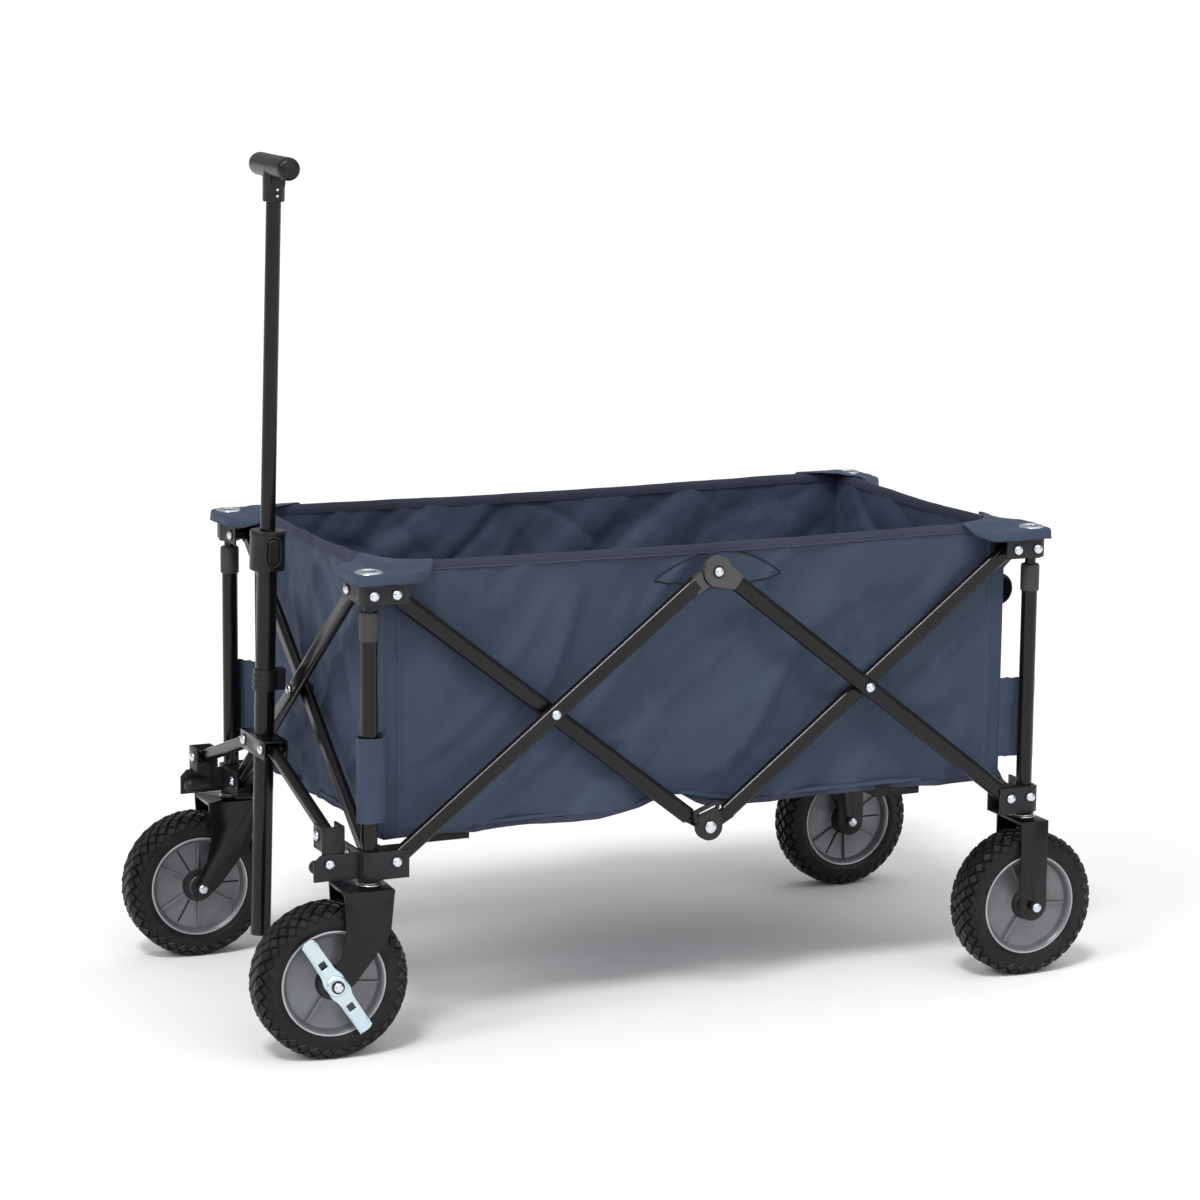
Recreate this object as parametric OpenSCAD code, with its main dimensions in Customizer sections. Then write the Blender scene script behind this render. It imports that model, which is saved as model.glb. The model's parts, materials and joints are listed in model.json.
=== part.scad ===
// Folding wagon on four wheels: a scissor frame that folds in length and in width at once, a fabric
// basket hung inside it, and a pull handle on a hinged drawbar. Millimetres, +X forward, +Z up,
// origin on the floor under the middle of the wagon.

/* [Frame] */
// Distance between the front and rear corner posts
post_span_x = 850; // [830:5:870]
// Distance between the left and right corner posts
post_span_y = 465; // [455:5:475]
// Height of the lower arm pivots above the floor
lower_pivot_z = 221.5; // [218:0.5:228]
// Height of the upper arm pivots above the lower ones
pivot_rise = 304.5; // [295:0.5:312]
// How far the side arm pivots sit inboard of a post
side_inset = 27; // [26:0.5:30]
// How far the end arm pivots sit inboard of a post
end_inset = 37; // [35:0.5:39]
// Outer diameter of the lower post tubes
post_d = 19; // [18:0.5:20]
// Outer diameter of the sliding inner posts
inner_post_d = 13; // [12:0.5:13.5]

/* [Arms] */
// Height of the flat oval arm tubes
arm_h = 20; // [18:0.5:21]
// Thickness of the flat oval arm tubes
arm_t = 12; // [10:0.5:12]
// Wall of the tubes
tube_wall = 1.4; // [1:0.1:2]
// Diameter of the pivot bolts
bolt_d = 6; // [5:0.5:6.5]

/* [Wheels] */
// Wheel diameter
wheel_d = 178; // [174:1:180]
// Tyre width
tyre_w = 48; // [44:1:50]
// Rim diameter
rim_d = 122.6; // [118:0.1:124]
// How far the front axles stand ahead of their swivels
caster_trail = 48; // [44:1:52]
// Turn of the left front caster as it stands
left_caster_turn = 4; // [0:0.5:6]
// Turn of the right front caster as it stands
right_caster_turn = 2; // [0:0.5:4]
// Lean of the brake levers from upright
brake_lean = 33; // [20:1:45]

/* [Handle] */
// Backward lean of the pull handle
handle_lean = 1.42; // [0:0.02:2]
// Outer diameter of the handle's lower tube
handle_d = 23.5; // [22:0.5:24]
// Outer diameter of the handle's sliding tube
handle_inner_d = 17.5; // [16:0.5:18]
// Height of the grip's middle above the floor
grip_z = 983; // [960:1:1000]
// Length of the T grip
grip_w = 110; // [100:1:130]
// Diameter of the T grip
grip_d = 27; // [24:0.5:30]

/* [Basket] */
// Height of the basket's top edge
hem_z = 554; // [550:1:560]
// Height of the basket's floor
floor_z = 247; // [244:1:252]
// Gap from the post axes to the long walls
wall_inset_y = 19; // [18:0.5:24]
// Gap from the post axes to the end walls
wall_inset_x = 25; // [24:0.5:30]
// Thickness of the basket's walls
wall_t = 3; // [2:0.5:4]

/* [Hidden] */
$fn = 48;

eps = 0.01;
frame_black = [0.05, 0.05, 0.06];
plastic_grey = [0.35, 0.36, 0.37];
plastic_black = [0.09, 0.09, 0.10];
rubber_black = [0.07, 0.07, 0.07];
zinc = [0.75, 0.79, 0.82];
navy = [0.12, 0.15, 0.24];

// The box round the wagon is centred on the origin, and the casters stand ahead of their posts
front_x = post_span_x / 2 - caster_trail / 2;
rear_x = -post_span_x / 2 - caster_trail / 2;
half_y = post_span_y / 2;
upper_pivot_z = lower_pivot_z + pivot_rise;
wheel_r = wheel_d / 2;

// Scissor geometry: the side and end arms cross at the same height and stand at the same angle,
// so that one fold angle serves them all
cross_dx = half_y - end_inset;
cross_dz = pivot_rise / 2;
arm_angle = atan2(cross_dz, cross_dx);
cross_len = norm([cross_dx, cross_dz]);
hinge_dx = post_span_x / 2 - side_inset;
hinge_along = hinge_dx * cos(arm_angle) + pivot_rise * sin(arm_angle);
hinge_drop = hinge_dx * sin(arm_angle) - pivot_rise * cos(arm_angle);
hinge_clear = 28;

// Planes of the arms, measured outward from a post's axis
outer_plane = 8;
inner_plane = -5.5;
end_outer_plane = 3;
end_inner_plane = -10.5;
gap = 0.5;
bolt_r = bolt_d / 2;
bore_r = bolt_r + 0.05;
head_r = 5;
head_t = 2.6;
plate_t = 2;

// Corner brackets, measured from the post's axis: a rounded block with a leg along each side
side_plate_y = outer_plane + arm_t / 2 + gap;
side_inner_y = inner_plane - arm_t / 2 - gap;
end_plate_x = end_outer_plane + arm_t / 2 + gap;
end_inner_x = end_inner_plane - arm_t / 2 - gap;
block_r = post_d / 2 + 3.5;
bracket_down = 19;
bracket_up = 13;
side_leg = side_inset + 15;
end_leg = end_inset + 15;

// Drawbar
hitch_x = 47;
hitch_front = 55;
hitch_back = 28;
hitch_y = -18.5;
hitch_pivot_z = 251.6;
ear_y = -2.5;
ear_t = 2.5;
bracket_bolt_y = 29.7;
bracket_z = 311.6;
link_h = 16;
link_t = 14;
link_x = (hitch_front + hitch_back) / 2;
link_run = half_y + hitch_y - bracket_bolt_y;
link_rise = bracket_z - hitch_pivot_z;
link_angle = atan2(link_rise, link_run);
link_len = norm([link_run, link_rise]);
handle_axis_x = front_x + 40.7;
handle_low = 83;
clamp_low = 518;
clamp_high = 564;
clamp_r = 20.5;
neck_low = 944;

// Shapes

module stadium(w, h) {
    r = w / 2;
    square([w, h - w], center = true);
    for (s = [-1, 1])
        translate([0, s * (h / 2 - r)])
            circle(r);
}

module mirror_if(wanted, axis) {
    if (wanted)
        mirror(axis)
            children();
    else
        children();
}

// Puts a shape drawn for the front left corner, post axis on Z, at any corner
module at_corner(front, left) {
    translate([front ? front_x : rear_x, left ? half_y : -half_y, 0])
        mirror_if(!front, [1, 0, 0])
            mirror_if(!left, [0, 1, 0])
                children();
}

module rod_y(r, y0, y1) {
    translate([0, y1, 0])
        rotate([90, 0, 0])
            cylinder(r = r, h = y1 - y0);
}

module rod_x(r, x0, x1) {
    translate([x0, 0, 0])
        rotate([0, 90, 0])
            cylinder(r = r, h = x1 - x0);
}

// A bolt along Y with a flat head at each end
module bolt_y(y0, y1) {
    rod_y(bolt_r, y0, y1);
    rod_y(head_r, y1, y1 + head_t);
    rod_y(head_r, y0 - head_t, y0);
}

module bolt_x(x0, x1) {
    rod_x(bolt_r, x0, x1);
    rod_x(head_r, x1, x1 + head_t);
    rod_x(head_r, x0 - head_t, x0);
}

// Corner posts

module lower_post() {
    collar_low = 474;
    tube_top = 499;
    collar_top = 504;
    color(frame_black)
        difference() {
            union() {
                translate([0, 0, lower_pivot_z + 8])
                    cylinder(d = post_d, h = tube_top - lower_pivot_z - 8);
                translate([0, 0, collar_low])
                    cylinder(d = post_d + 3, h = collar_top - collar_low);
            }
            translate([0, 0, lower_pivot_z])
                cylinder(d = post_d - 4.5, h = tube_top - lower_pivot_z);
            translate([0, 0, lower_pivot_z])
                cylinder(d = inner_post_d + 0.6, h = collar_top);
        }
}

module inner_post() {
    low = 250;
    high = upper_pivot_z + 16;
    color(frame_black)
        translate([0, 0, low])
            difference() {
                cylinder(d = inner_post_d, h = high - low);
                translate([0, 0, -eps])
                    cylinder(d = inner_post_d - 2 * tube_wall, h = high - low + 1);
            }
}

// The round block and the L-shaped plates round both arms, for z0 to z1, with its web at web_z
module bracket_body(z0, z1, web_z, block_low) {
    translate([0, 0, block_low])
        cylinder(r = block_r, h = z1 - block_low);
    translate([-block_r, 0, z0])
        cube([block_r, side_plate_y + plate_t, z1 - z0]);
    intersection() {
        translate([0, 0, z0])
            cylinder(r = side_plate_y + plate_t, h = z1 - z0);
        translate([0, 0, z0])
            cube([end_plate_x + plate_t, side_plate_y + plate_t, z1 - z0]);
    }
    translate([0, -block_r, z0])
        cube([end_plate_x + plate_t, block_r, z1 - z0]);
    // plates outside the arms
    translate([-side_leg, side_plate_y, z0])
        cube([side_leg, plate_t, z1 - z0]);
    translate([end_plate_x, -end_leg, z0])
        cube([plate_t, end_leg, z1 - z0]);
    // plates inside the arms
    translate([-side_leg, side_inner_y - plate_t, z0])
        cube([side_leg + end_inner_x, plate_t, z1 - z0]);
    translate([end_inner_x - plate_t, -end_leg, z0])
        cube([plate_t, end_leg + side_inner_y, z1 - z0]);
    // web that joins the plates
    translate([-side_leg, side_inner_y - plate_t, web_z])
        cube([side_leg, side_plate_y + 2 * plate_t - side_inner_y, plate_t]);
    translate([end_inner_x - plate_t, -end_leg, web_z])
        cube([end_plate_x + 2 * plate_t - end_inner_x, end_leg, plate_t]);
}

// Pivot bolts with a spacer bush beside each arm; an arm on the outer plane has its bush inboard
module bracket_bolts(z, side_outer, end_outer) {
    bush_r = 6;
    side_split = side_outer ? outer_plane - arm_t / 2 - gap : inner_plane + arm_t / 2 + gap;
    end_split = end_outer ? end_outer_plane - arm_t / 2 - gap
                          : end_inner_plane + arm_t / 2 + gap;
    translate([-side_inset, 0, z]) {
        bolt_y(side_inner_y - plate_t, side_plate_y + plate_t);
        if (side_outer)
            rod_y(bush_r, side_inner_y, side_split);
        else
            rod_y(bush_r, side_split, side_plate_y);
    }
    translate([0, -end_inset, z]) {
        bolt_x(end_inner_x - plate_t, end_plate_x + plate_t);
        if (end_outer)
            rod_x(bush_r, end_inner_x, end_split);
        else
            rod_x(bush_r, end_split, end_plate_x);
    }
}

module bottom_bracket(has_ear, end_outer) {
    z0 = lower_pivot_z - bracket_down;
    z1 = lower_pivot_z + bracket_up;
    block_low = z0 - 4.5;
    ear_end = 66;
    color(frame_black) {
        difference() {
            bracket_body(z0, z1, z0, block_low);
            // seat for the post tube, and the bore for the wheel fork's stem
            translate([0, 0, lower_pivot_z + 8 - eps])
                cylinder(d = post_d + 0.2, h = 20);
            translate([0, 0, block_low - 1])
                cylinder(r = 6.05, h = lower_pivot_z + 6.5 - block_low);
        }
        bracket_bolts(lower_pivot_z, true, end_outer);
        if (has_ear)
            difference() {
                translate([block_r - 1, ear_y, z0])
                    cube([ear_end - block_r + 1, ear_t, bracket_down + 11]);
                // bore for the hitch bolt
                translate([hitch_x, 0, lower_pivot_z])
                    rod_y(bore_r, ear_y - 1, ear_y + ear_t + 1);
                // clipped upper corner
                translate([ear_end, ear_y - 1, z0 + 22])
                    rotate([0, -45, 0])
                        cube([30, ear_t + 2, 20]);
            }
    }
}

module top_bracket(end_outer) {
    z0 = upper_pivot_z - 10.5;
    z1 = upper_pivot_z + 21.5;
    color(frame_black) {
        difference() {
            bracket_body(z0, z1, z1 - plate_t, z0 - 1.5);
            translate([0, 0, z0 - 2])
                cylinder(d = inner_post_d + 0.1, h = upper_pivot_z + 16.05 - z0 + 2);
        }
        bracket_bolts(upper_pivot_z, false, end_outer);
        // head of the screw that holds the inner post
        translate([0, 0, upper_pivot_z])
            rod_y(head_r, side_plate_y + plate_t, side_plate_y + plate_t + head_t);
    }
}

// Arms

// A flat oval tube along X from 0 to len, its ends closed by round-ended plugs at 0
module oval_tube(len) {
    difference() {
        union() {
            rotate([90, 0, 90])
                linear_extrude(len)
                    stadium(arm_t, arm_h);
            rod_y(arm_h / 2 - 0.5, -arm_t / 2 + 0.5, arm_t / 2 - 0.5);
        }
        for (span = [[20, cross_len - 12], [cross_len + 12, len - 14]])
            translate([span[0], 0, 0])
                rotate([90, 0, 90])
                    linear_extrude(span[1] - span[0])
                        stadium(arm_t - 2 * tube_wall, arm_h - 2 * tube_wall);
    }
}

// Half-thickness end piece that carries the hinge at the middle of a side
module hinge_end(is_disc) {
    y0 = is_disc ? 0 : -arm_t / 2 + 0.2;
    y1 = is_disc ? arm_t / 2 : -0.3;
    start = hinge_along - hinge_clear;
    reach = norm([hinge_clear, hinge_drop]);
    translate([start, y0, 0])
        rotate([0, atan2(hinge_drop, hinge_clear), 0])
            translate([-4, 0, -8])
                cube([reach + 4, y1 - y0, 16]);
    translate([hinge_along, 0, -hinge_drop])
        rod_y(is_disc ? 15.5 : 10, y0, y1);
}

// One side arm: rising arms start at the lower pivot on the outer plane, falling arms at the
// upper pivot on the inner plane. The hinge at the far end has a disc or a tongue.
module side_arm(rising, is_disc) {
    plane = rising ? outer_plane : inner_plane;
    z = rising ? lower_pivot_z : upper_pivot_z;
    inward = inner_plane - arm_t / 2 - outer_plane - gap;
    color(frame_black)
        translate([-side_inset, plane, z])
            mirror([1, 0, 0])
                mirror_if(!rising, [0, 0, 1])
                    rotate([0, -arm_angle, 0]) {
                        difference() {
                            union() {
                                oval_tube(hinge_along - hinge_clear);
                                hinge_end(is_disc);
                            }
                            rod_y(bore_r, -arm_t, arm_t);
                            if (!rising)
                                translate([cross_len, 0, 0])
                                    rod_y(bore_r, -arm_t, arm_t);
                            if (!is_disc)
                                translate([hinge_along, 0, -hinge_drop])
                                    rod_y(bore_r, -arm_t, arm_t);
                        }
                        if (rising)
                            translate([cross_len, 0, 0])
                                bolt_y(inward, arm_t / 2);
                        if (is_disc)
                            translate([hinge_along, 0, -hinge_drop])
                                bolt_y(-arm_t / 2 - 0.3, arm_t / 2);
                    }
}

// One end arm, from the lower pivot of its own corner to the upper pivot of the other side
module cross_arm(outer) {
    plane = outer ? end_outer_plane : end_inner_plane;
    inward = end_inner_plane - arm_t / 2 - end_outer_plane - gap;
    color(frame_black)
        translate([plane, -end_inset, lower_pivot_z])
            rotate([0, 0, -90])
                rotate([0, -arm_angle, 0]) {
                    difference() {
                        union() {
                            oval_tube(2 * cross_len);
                            translate([2 * cross_len, 0, 0])
                                rod_y(arm_h / 2 - 0.5, -arm_t / 2 + 0.5, arm_t / 2 - 0.5);
                        }
                        for (along = outer ? [0, 2 * cross_len] : [0, cross_len, 2 * cross_len])
                            translate([along, 0, 0])
                                rod_y(bore_r, -arm_t, arm_t);
                    }
                    if (outer)
                        translate([cross_len, 0, 0])
                            bolt_y(inward, arm_t / 2);
                }
}

// Wheels

fork_in = tyre_w / 2 + 4;
fork_t = 2.5;
fork_top = 194;
leg_out = fork_in + fork_t;

// Cranked leg of a swivelling fork, seen from the side
module cranked_leg() {
    polygon([[-21, fork_top], [38.5, fork_top], [36, 148], [41, 120],
             [caster_trail + 11, wheel_r + 7], [caster_trail - 6, wheel_r - 12],
             [26, wheel_r], [2, 119], [-16, 144]]);
    translate([caster_trail, wheel_r])
        circle(13);
}

// Straight leg of a fixed fork
module straight_leg() {
    translate([-18.5, wheel_r])
        square([37, fork_top - wheel_r]);
    translate([0, wheel_r])
        circle(18.5);
}

module fork(swivels, turn) {
    axle_x = swivels ? caster_trail : 0;
    crown = swivels ? [-21, 59] : [-18.5, 37];
    color(frame_black)
        rotate([0, 0, turn]) {
            for (s = [-1, 1])
                translate([0, s > 0 ? leg_out : -fork_in, 0])
                    rotate([90, 0, 0])
                        linear_extrude(fork_t)
                            if (swivels)
                                cranked_leg();
                            else
                                straight_leg();
            translate([crown[0], -leg_out, fork_top - 3.5])
                cube([crown[1], 2 * leg_out, 3.5]);
            translate([0, 0, fork_top - 1])
                cylinder(r = 6, h = 33);
            translate([0, 0, fork_top - eps])
                cylinder(r = 11, h = 3);
            translate([axle_x, 0, wheel_r]) {
                rod_y(4, -leg_out - 5, leg_out + 5);
                rod_y(6.5, leg_out + 4, leg_out + 8);
                rod_y(6.5, -leg_out - 5, -leg_out);
                for (s = [-1, 1])
                    rod_y(8, s > 0 ? 22.6 : -fork_in, s > 0 ? fork_in : -22.6);
            }
        }
}

module at_axle(swivels, turn) {
    rotate([0, 0, turn])
        translate([swivels ? caster_trail : 0, 0, wheel_r])
            rotate([90, 0, 0])
                children();
}

module tyre(swivels, turn) {
    inner_r = rim_d / 2 + 0.1;
    color(rubber_black)
        at_axle(swivels, turn)
            rotate_extrude($fn = 96) {
                translate([inner_r, -tyre_w / 2 + 2])
                    square([80 - inner_r, tyre_w - 4]);
                translate([inner_r + 6, -tyre_w / 2])
                    square([74 - inner_r, tyre_w]);
                translate([79, -13])
                    square([wheel_r - 79, 26]);
                for (s = [-1, 1])
                    translate([wheel_r - 11, s * 13])
                        circle(11);
            }
}

module rim(swivels, turn) {
    r = rim_d / 2;
    color(plastic_grey)
        at_axle(swivels, turn)
            rotate_extrude($fn = 96) {
                translate([4.05, -22])
                    square([10, 44]);
                translate([13, -6])
                    square([r - 14, 4]);
                translate([r - 4, -tyre_w / 2 + 3])
                    square([4, tyre_w - 6]);
            }
}

module brake_lever(turn) {
    half = 55;
    color(zinc)
        rotate([0, 0, turn])
            translate([caster_trail, leg_out + 0.8, wheel_r])
                rotate([0, brake_lean, 0])
                    difference() {
                        union() {
                            rod_y(12.5, 0, 3);
                            translate([-9.5, 0, -half])
                                cube([19, 2.5, 2 * half]);
                            for (s = [-1, 1])
                                translate([0, 0, s * half])
                                    rod_y(9.5, 0, 2.5);
                        }
                        rod_y(4.05, -1, 4);
                    }
}

// Drawbar and handle

// Swivel block that stands on a front corner's ear and holds the outer end of a link
module hitch() {
    low = lower_pivot_z - 14;
    top = 263.5;
    web_y = ear_y - gap - ear_t;
    deep = 28;
    color(frame_black) {
        translate([hitch_back, web_y, low])
            cube([hitch_front - hitch_back, ear_t, top - low]);
        for (x = [hitch_back, hitch_front - ear_t])
            translate([x, web_y - deep + ear_t, lower_pivot_z + 14])
                cube([ear_t, deep, top - lower_pivot_z - 14]);
        translate([0, hitch_y, hitch_pivot_z])
            bolt_x(hitch_back, hitch_front);
        // bolt through the ear
        translate([hitch_x, 0, lower_pivot_z])
            rod_y(bolt_r, web_y, ear_y + ear_t + head_t);
        translate([hitch_x, 0, lower_pivot_z])
            rod_y(head_r, ear_y + ear_t + 0.3, ear_y + ear_t + 0.3 + head_t);
    }
    // rubber nose under the hitch
    color(rubber_black) {
        translate([0, -16, lower_pivot_z - 5.5])
            rod_x(8, hitch_back + 8, 58);
        translate([58, -16, lower_pivot_z - 5.5])
            sphere(8);
        translate([hitch_back + 8, -16, lower_pivot_z - 6])
            cube([12, 16 + web_y + 1, 6]);
    }
}

// Flat oval link from a hitch to the handle bracket; cut short at the bracket when it is open
module link(open) {
    end = open ? link_len - 10 : link_len;
    color(frame_black)
        translate([link_x, hitch_y, hitch_pivot_z])
            rotate([0, 0, -90])
                rotate([0, -link_angle, 0])
                    difference() {
                        union() {
                            rotate([90, 0, 90])
                                linear_extrude(end)
                                    stadium(link_t, link_h);
                            rod_y(link_h / 2, -link_t / 2, link_t / 2);
                            if (!open)
                                translate([link_len, 0, 0])
                                    rod_y(link_h / 2, -link_t / 2, link_t / 2);
                        }
                        rod_y(bore_r, -link_t, link_t);
                        if (!open)
                            translate([link_len, 0, 0])
                                rod_y(bore_r, -link_t, link_t);
                    }
}

// Puts a shape drawn on Z, heights from the floor, on the leaning handle
module on_handle() {
    translate([handle_axis_x, 0, bracket_z])
        rotate([0, -handle_lean, 0])
            translate([0, 0, -bracket_z])
                children();
}

module handle_bracket() {
    half = 41;
    up = 11;
    block_half = handle_d / 2 + 0.65;
    color(frame_black) {
        for (x = [hitch_back - 1.5, hitch_front - ear_t])
            translate([front_x + x, -half, bracket_z - up])
                cube([ear_t, 2 * half, 2 * up]);
        difference() {
            union() {
                translate([front_x + hitch_back, -block_half, bracket_z - up])
                    cube([hitch_front - hitch_back - 1, 2 * block_half, 2 * up + 1.5]);
                translate([front_x + hitch_back, -half, bracket_z + up - ear_t])
                    cube([hitch_front - hitch_back - 1, 2 * half, ear_t]);
            }
            on_handle()
                cylinder(d = handle_d + 0.2, h = grip_z);
        }
        // left link's bolt goes through; the right link's pivot is the open one
        translate([front_x, bracket_bolt_y, bracket_z])
            bolt_x(hitch_back - 1.5, hitch_front);
        translate([front_x, -bracket_bolt_y, bracket_z]) {
            rod_x(head_r, hitch_front, hitch_front + head_t);
            rod_x(head_r, hitch_back - 1.5 - head_t, hitch_back - 1.5);
        }
    }
}

module handle_outer_tube() {
    color(frame_black)
        on_handle()
            translate([0, 0, handle_low])
                difference() {
                    cylinder(d = handle_d, h = clamp_high - 6 - handle_low);
                    translate([0, 0, 4])
                        cylinder(d = handle_d - 3.4, h = grip_z);
                }
}

// Guide ring on the outer tube, with a nose towards the bolt where the end arms cross
module handle_clip() {
    low = 376;
    color(plastic_black)
        on_handle()
            translate([0, 0, low])
                difference() {
                    union() {
                        cylinder(r = handle_d / 2 + 2.2, h = 25);
                        for (z = [2, 9, 16])
                            translate([0, 0, z])
                                cylinder(r = handle_d / 2 + 3, h = 2.5);
                        translate([-23, -7, 0])
                            cube([14, 14, 25]);
                    }
                    translate([0, 0, -1])
                        cylinder(d = handle_d + 0.1, h = 30);
                }
}

module handle_clamp() {
    color(plastic_black)
        on_handle()
            difference() {
                union() {
                    translate([0, 0, clamp_low])
                        cylinder(r = clamp_r, h = clamp_high - clamp_low - 3);
                    translate([0, 0, clamp_low + 3])
                        cylinder(r = clamp_r - 2, h = clamp_high - clamp_low - 3);
                }
                cylinder(d = handle_d + 0.2, h = clamp_high - 6);
                cylinder(d = handle_inner_d + 0.2, h = grip_z);
                button_seat(0.3);
            }
}

// Oval pocket of the release button, grown by a clearance
module button_seat(clear) {
    translate([0, 13.8 - clear, (clamp_low + clamp_high) / 2])
        rotate([-90, 0, 0])
            linear_extrude(14)
                stadium(14 + 2 * clear, 31 + 2 * clear);
}

module handle_button() {
    color(plastic_black)
        on_handle()
            translate([0, 17.8, (clamp_low + clamp_high) / 2])
                rotate([-90, 0, 0])
                    linear_extrude(clamp_r + 1.5 - 17.8)
                        stadium(14, 31);
}

module handle_inner_tube() {
    low = 460;
    color(frame_black)
        on_handle()
            translate([0, 0, low])
                difference() {
                    cylinder(d = handle_inner_d, h = grip_z - 12 - low);
                    translate([0, 0, -1])
                        cylinder(d = handle_inner_d - 2.6, h = grip_z - 20 - low);
                }
}

module handle_grip() {
    half = grip_w / 2;
    color(plastic_black)
        on_handle()
            difference() {
                union() {
                    translate([0, 0, neck_low])
                        cylinder(d = 25.5, h = grip_z - neck_low);
                    translate([0, 0, grip_z]) {
                        rod_y(grip_d / 2, -half + 4, half - 4);
                        rod_y(grip_d / 2 - 2.5, -half, half);
                    }
                }
                translate([0, 0, neck_low - 1])
                    cylinder(d = handle_inner_d + 0.1, h = grip_z - 11.9 - neck_low + 1);
            }
}

// Basket, as plain closed panels

basket_y = half_y - wall_inset_y;
basket_x0 = rear_x + wall_inset_x;
basket_x1 = front_x - wall_inset_x;

module basket_side_wall() {
    color(navy)
        translate([basket_x0, basket_y - wall_t, floor_z])
            cube([basket_x1 - basket_x0, wall_t, hem_z - floor_z]);
}

module basket_end_wall(x) {
    color(navy)
        translate([x, -basket_y + wall_t + 0.2, floor_z])
            cube([wall_t, 2 * (basket_y - wall_t - 0.2), hem_z - floor_z]);
}

// One half of the stiffened floor; the halves fold up along the middle of the wagon
module basket_floor() {
    board_t = 6;
    edge_y = basket_y - wall_t - 0.5 - board_t / 2;
    low_x = basket_x0 + wall_t;
    high_x = basket_x1 - wall_t;
    color(navy) {
        translate([low_x, 0.5, floor_z - board_t / 2])
            cube([high_x - low_x, edge_y - 0.5, board_t]);
        // rounded outer edge, on the axis that it folds about
        translate([0, edge_y, floor_z])
            rod_x(board_t / 2, low_x, high_x);
    }
}

module one_side(left) {
    mirror_if(!left, [0, 1, 0])
        children();
}

at_corner(true, true) lower_post();  // front_left_lower_post
at_corner(true, true) bottom_bracket(true, false);  // front_left_bottom_bracket
at_corner(true, true) inner_post();  // front_left_inner_post
at_corner(true, true) top_bracket(true);  // front_left_top_bracket
at_corner(true, true) side_arm(true, false);  // front_left_outer_arm
at_corner(true, true) side_arm(false, false);  // front_left_inner_arm
at_corner(true, true) cross_arm(false);  // front_left_cross_arm
at_corner(true, true) fork(true, -left_caster_turn);  // front_left_fork
at_corner(true, true) tyre(true, -left_caster_turn);  // front_left_tyre
at_corner(true, true) rim(true, -left_caster_turn);  // front_left_rim
at_corner(true, false) lower_post();  // front_right_lower_post
at_corner(true, false) bottom_bracket(true, true);  // front_right_bottom_bracket
at_corner(true, false) inner_post();  // front_right_inner_post
at_corner(true, false) top_bracket(false);  // front_right_top_bracket
at_corner(true, false) side_arm(true, false);  // front_right_outer_arm
at_corner(true, false) side_arm(false, false);  // front_right_inner_arm
at_corner(true, false) cross_arm(true);  // front_right_cross_arm
at_corner(true, false) fork(true, right_caster_turn);  // front_right_fork
at_corner(true, false) tyre(true, right_caster_turn);  // front_right_tyre
at_corner(true, false) rim(true, right_caster_turn);  // front_right_rim
at_corner(false, true) lower_post();  // rear_left_lower_post
at_corner(false, true) bottom_bracket(false, false);  // rear_left_bottom_bracket
at_corner(false, true) inner_post();  // rear_left_inner_post
at_corner(false, true) top_bracket(true);  // rear_left_top_bracket
at_corner(false, true) side_arm(true, true);  // rear_left_outer_arm
at_corner(false, true) side_arm(false, true);  // rear_left_inner_arm
at_corner(false, true) cross_arm(false);  // rear_left_cross_arm
at_corner(false, true) fork(false, 0);  // rear_left_fork
at_corner(false, true) tyre(false, 0);  // rear_left_tyre
at_corner(false, true) rim(false, 0);  // rear_left_rim
at_corner(false, false) lower_post();  // rear_right_lower_post
at_corner(false, false) bottom_bracket(false, true);  // rear_right_bottom_bracket
at_corner(false, false) inner_post();  // rear_right_inner_post
at_corner(false, false) top_bracket(false);  // rear_right_top_bracket
at_corner(false, false) side_arm(true, true);  // rear_right_outer_arm
at_corner(false, false) side_arm(false, true);  // rear_right_inner_arm
at_corner(false, false) cross_arm(true);  // rear_right_cross_arm
at_corner(false, false) fork(false, 0);  // rear_right_fork
at_corner(false, false) tyre(false, 0);  // rear_right_tyre
at_corner(false, false) rim(false, 0);  // rear_right_rim
at_corner(true, true) brake_lever(-left_caster_turn);  // left_brake_lever
at_corner(true, true) hitch();  // left_hitch
at_corner(true, true) link(false);  // left_link
at_corner(true, false) brake_lever(right_caster_turn);  // right_brake_lever
at_corner(true, false) hitch();  // right_hitch
at_corner(true, false) link(true);  // right_link
handle_bracket();
handle_outer_tube();
handle_clip();
handle_clamp();
handle_button();
handle_inner_tube();
handle_grip();
one_side(true) basket_side_wall();  // basket_left_wall
one_side(false) basket_side_wall();  // basket_right_wall
basket_end_wall(basket_x1 - wall_t);  // basket_front_wall
basket_end_wall(basket_x0);  // basket_rear_wall
one_side(true) basket_floor();  // basket_left_floor
one_side(false) basket_floor();  // basket_right_floor
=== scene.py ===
"""Folding wagon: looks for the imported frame, one operator for each group of like pieces."""

import json
import math

import bmesh
import bpy
from bpy.props import FloatProperty, FloatVectorProperty, IntProperty, PointerProperty
from mathutils import Matrix, Vector, noise


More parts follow.
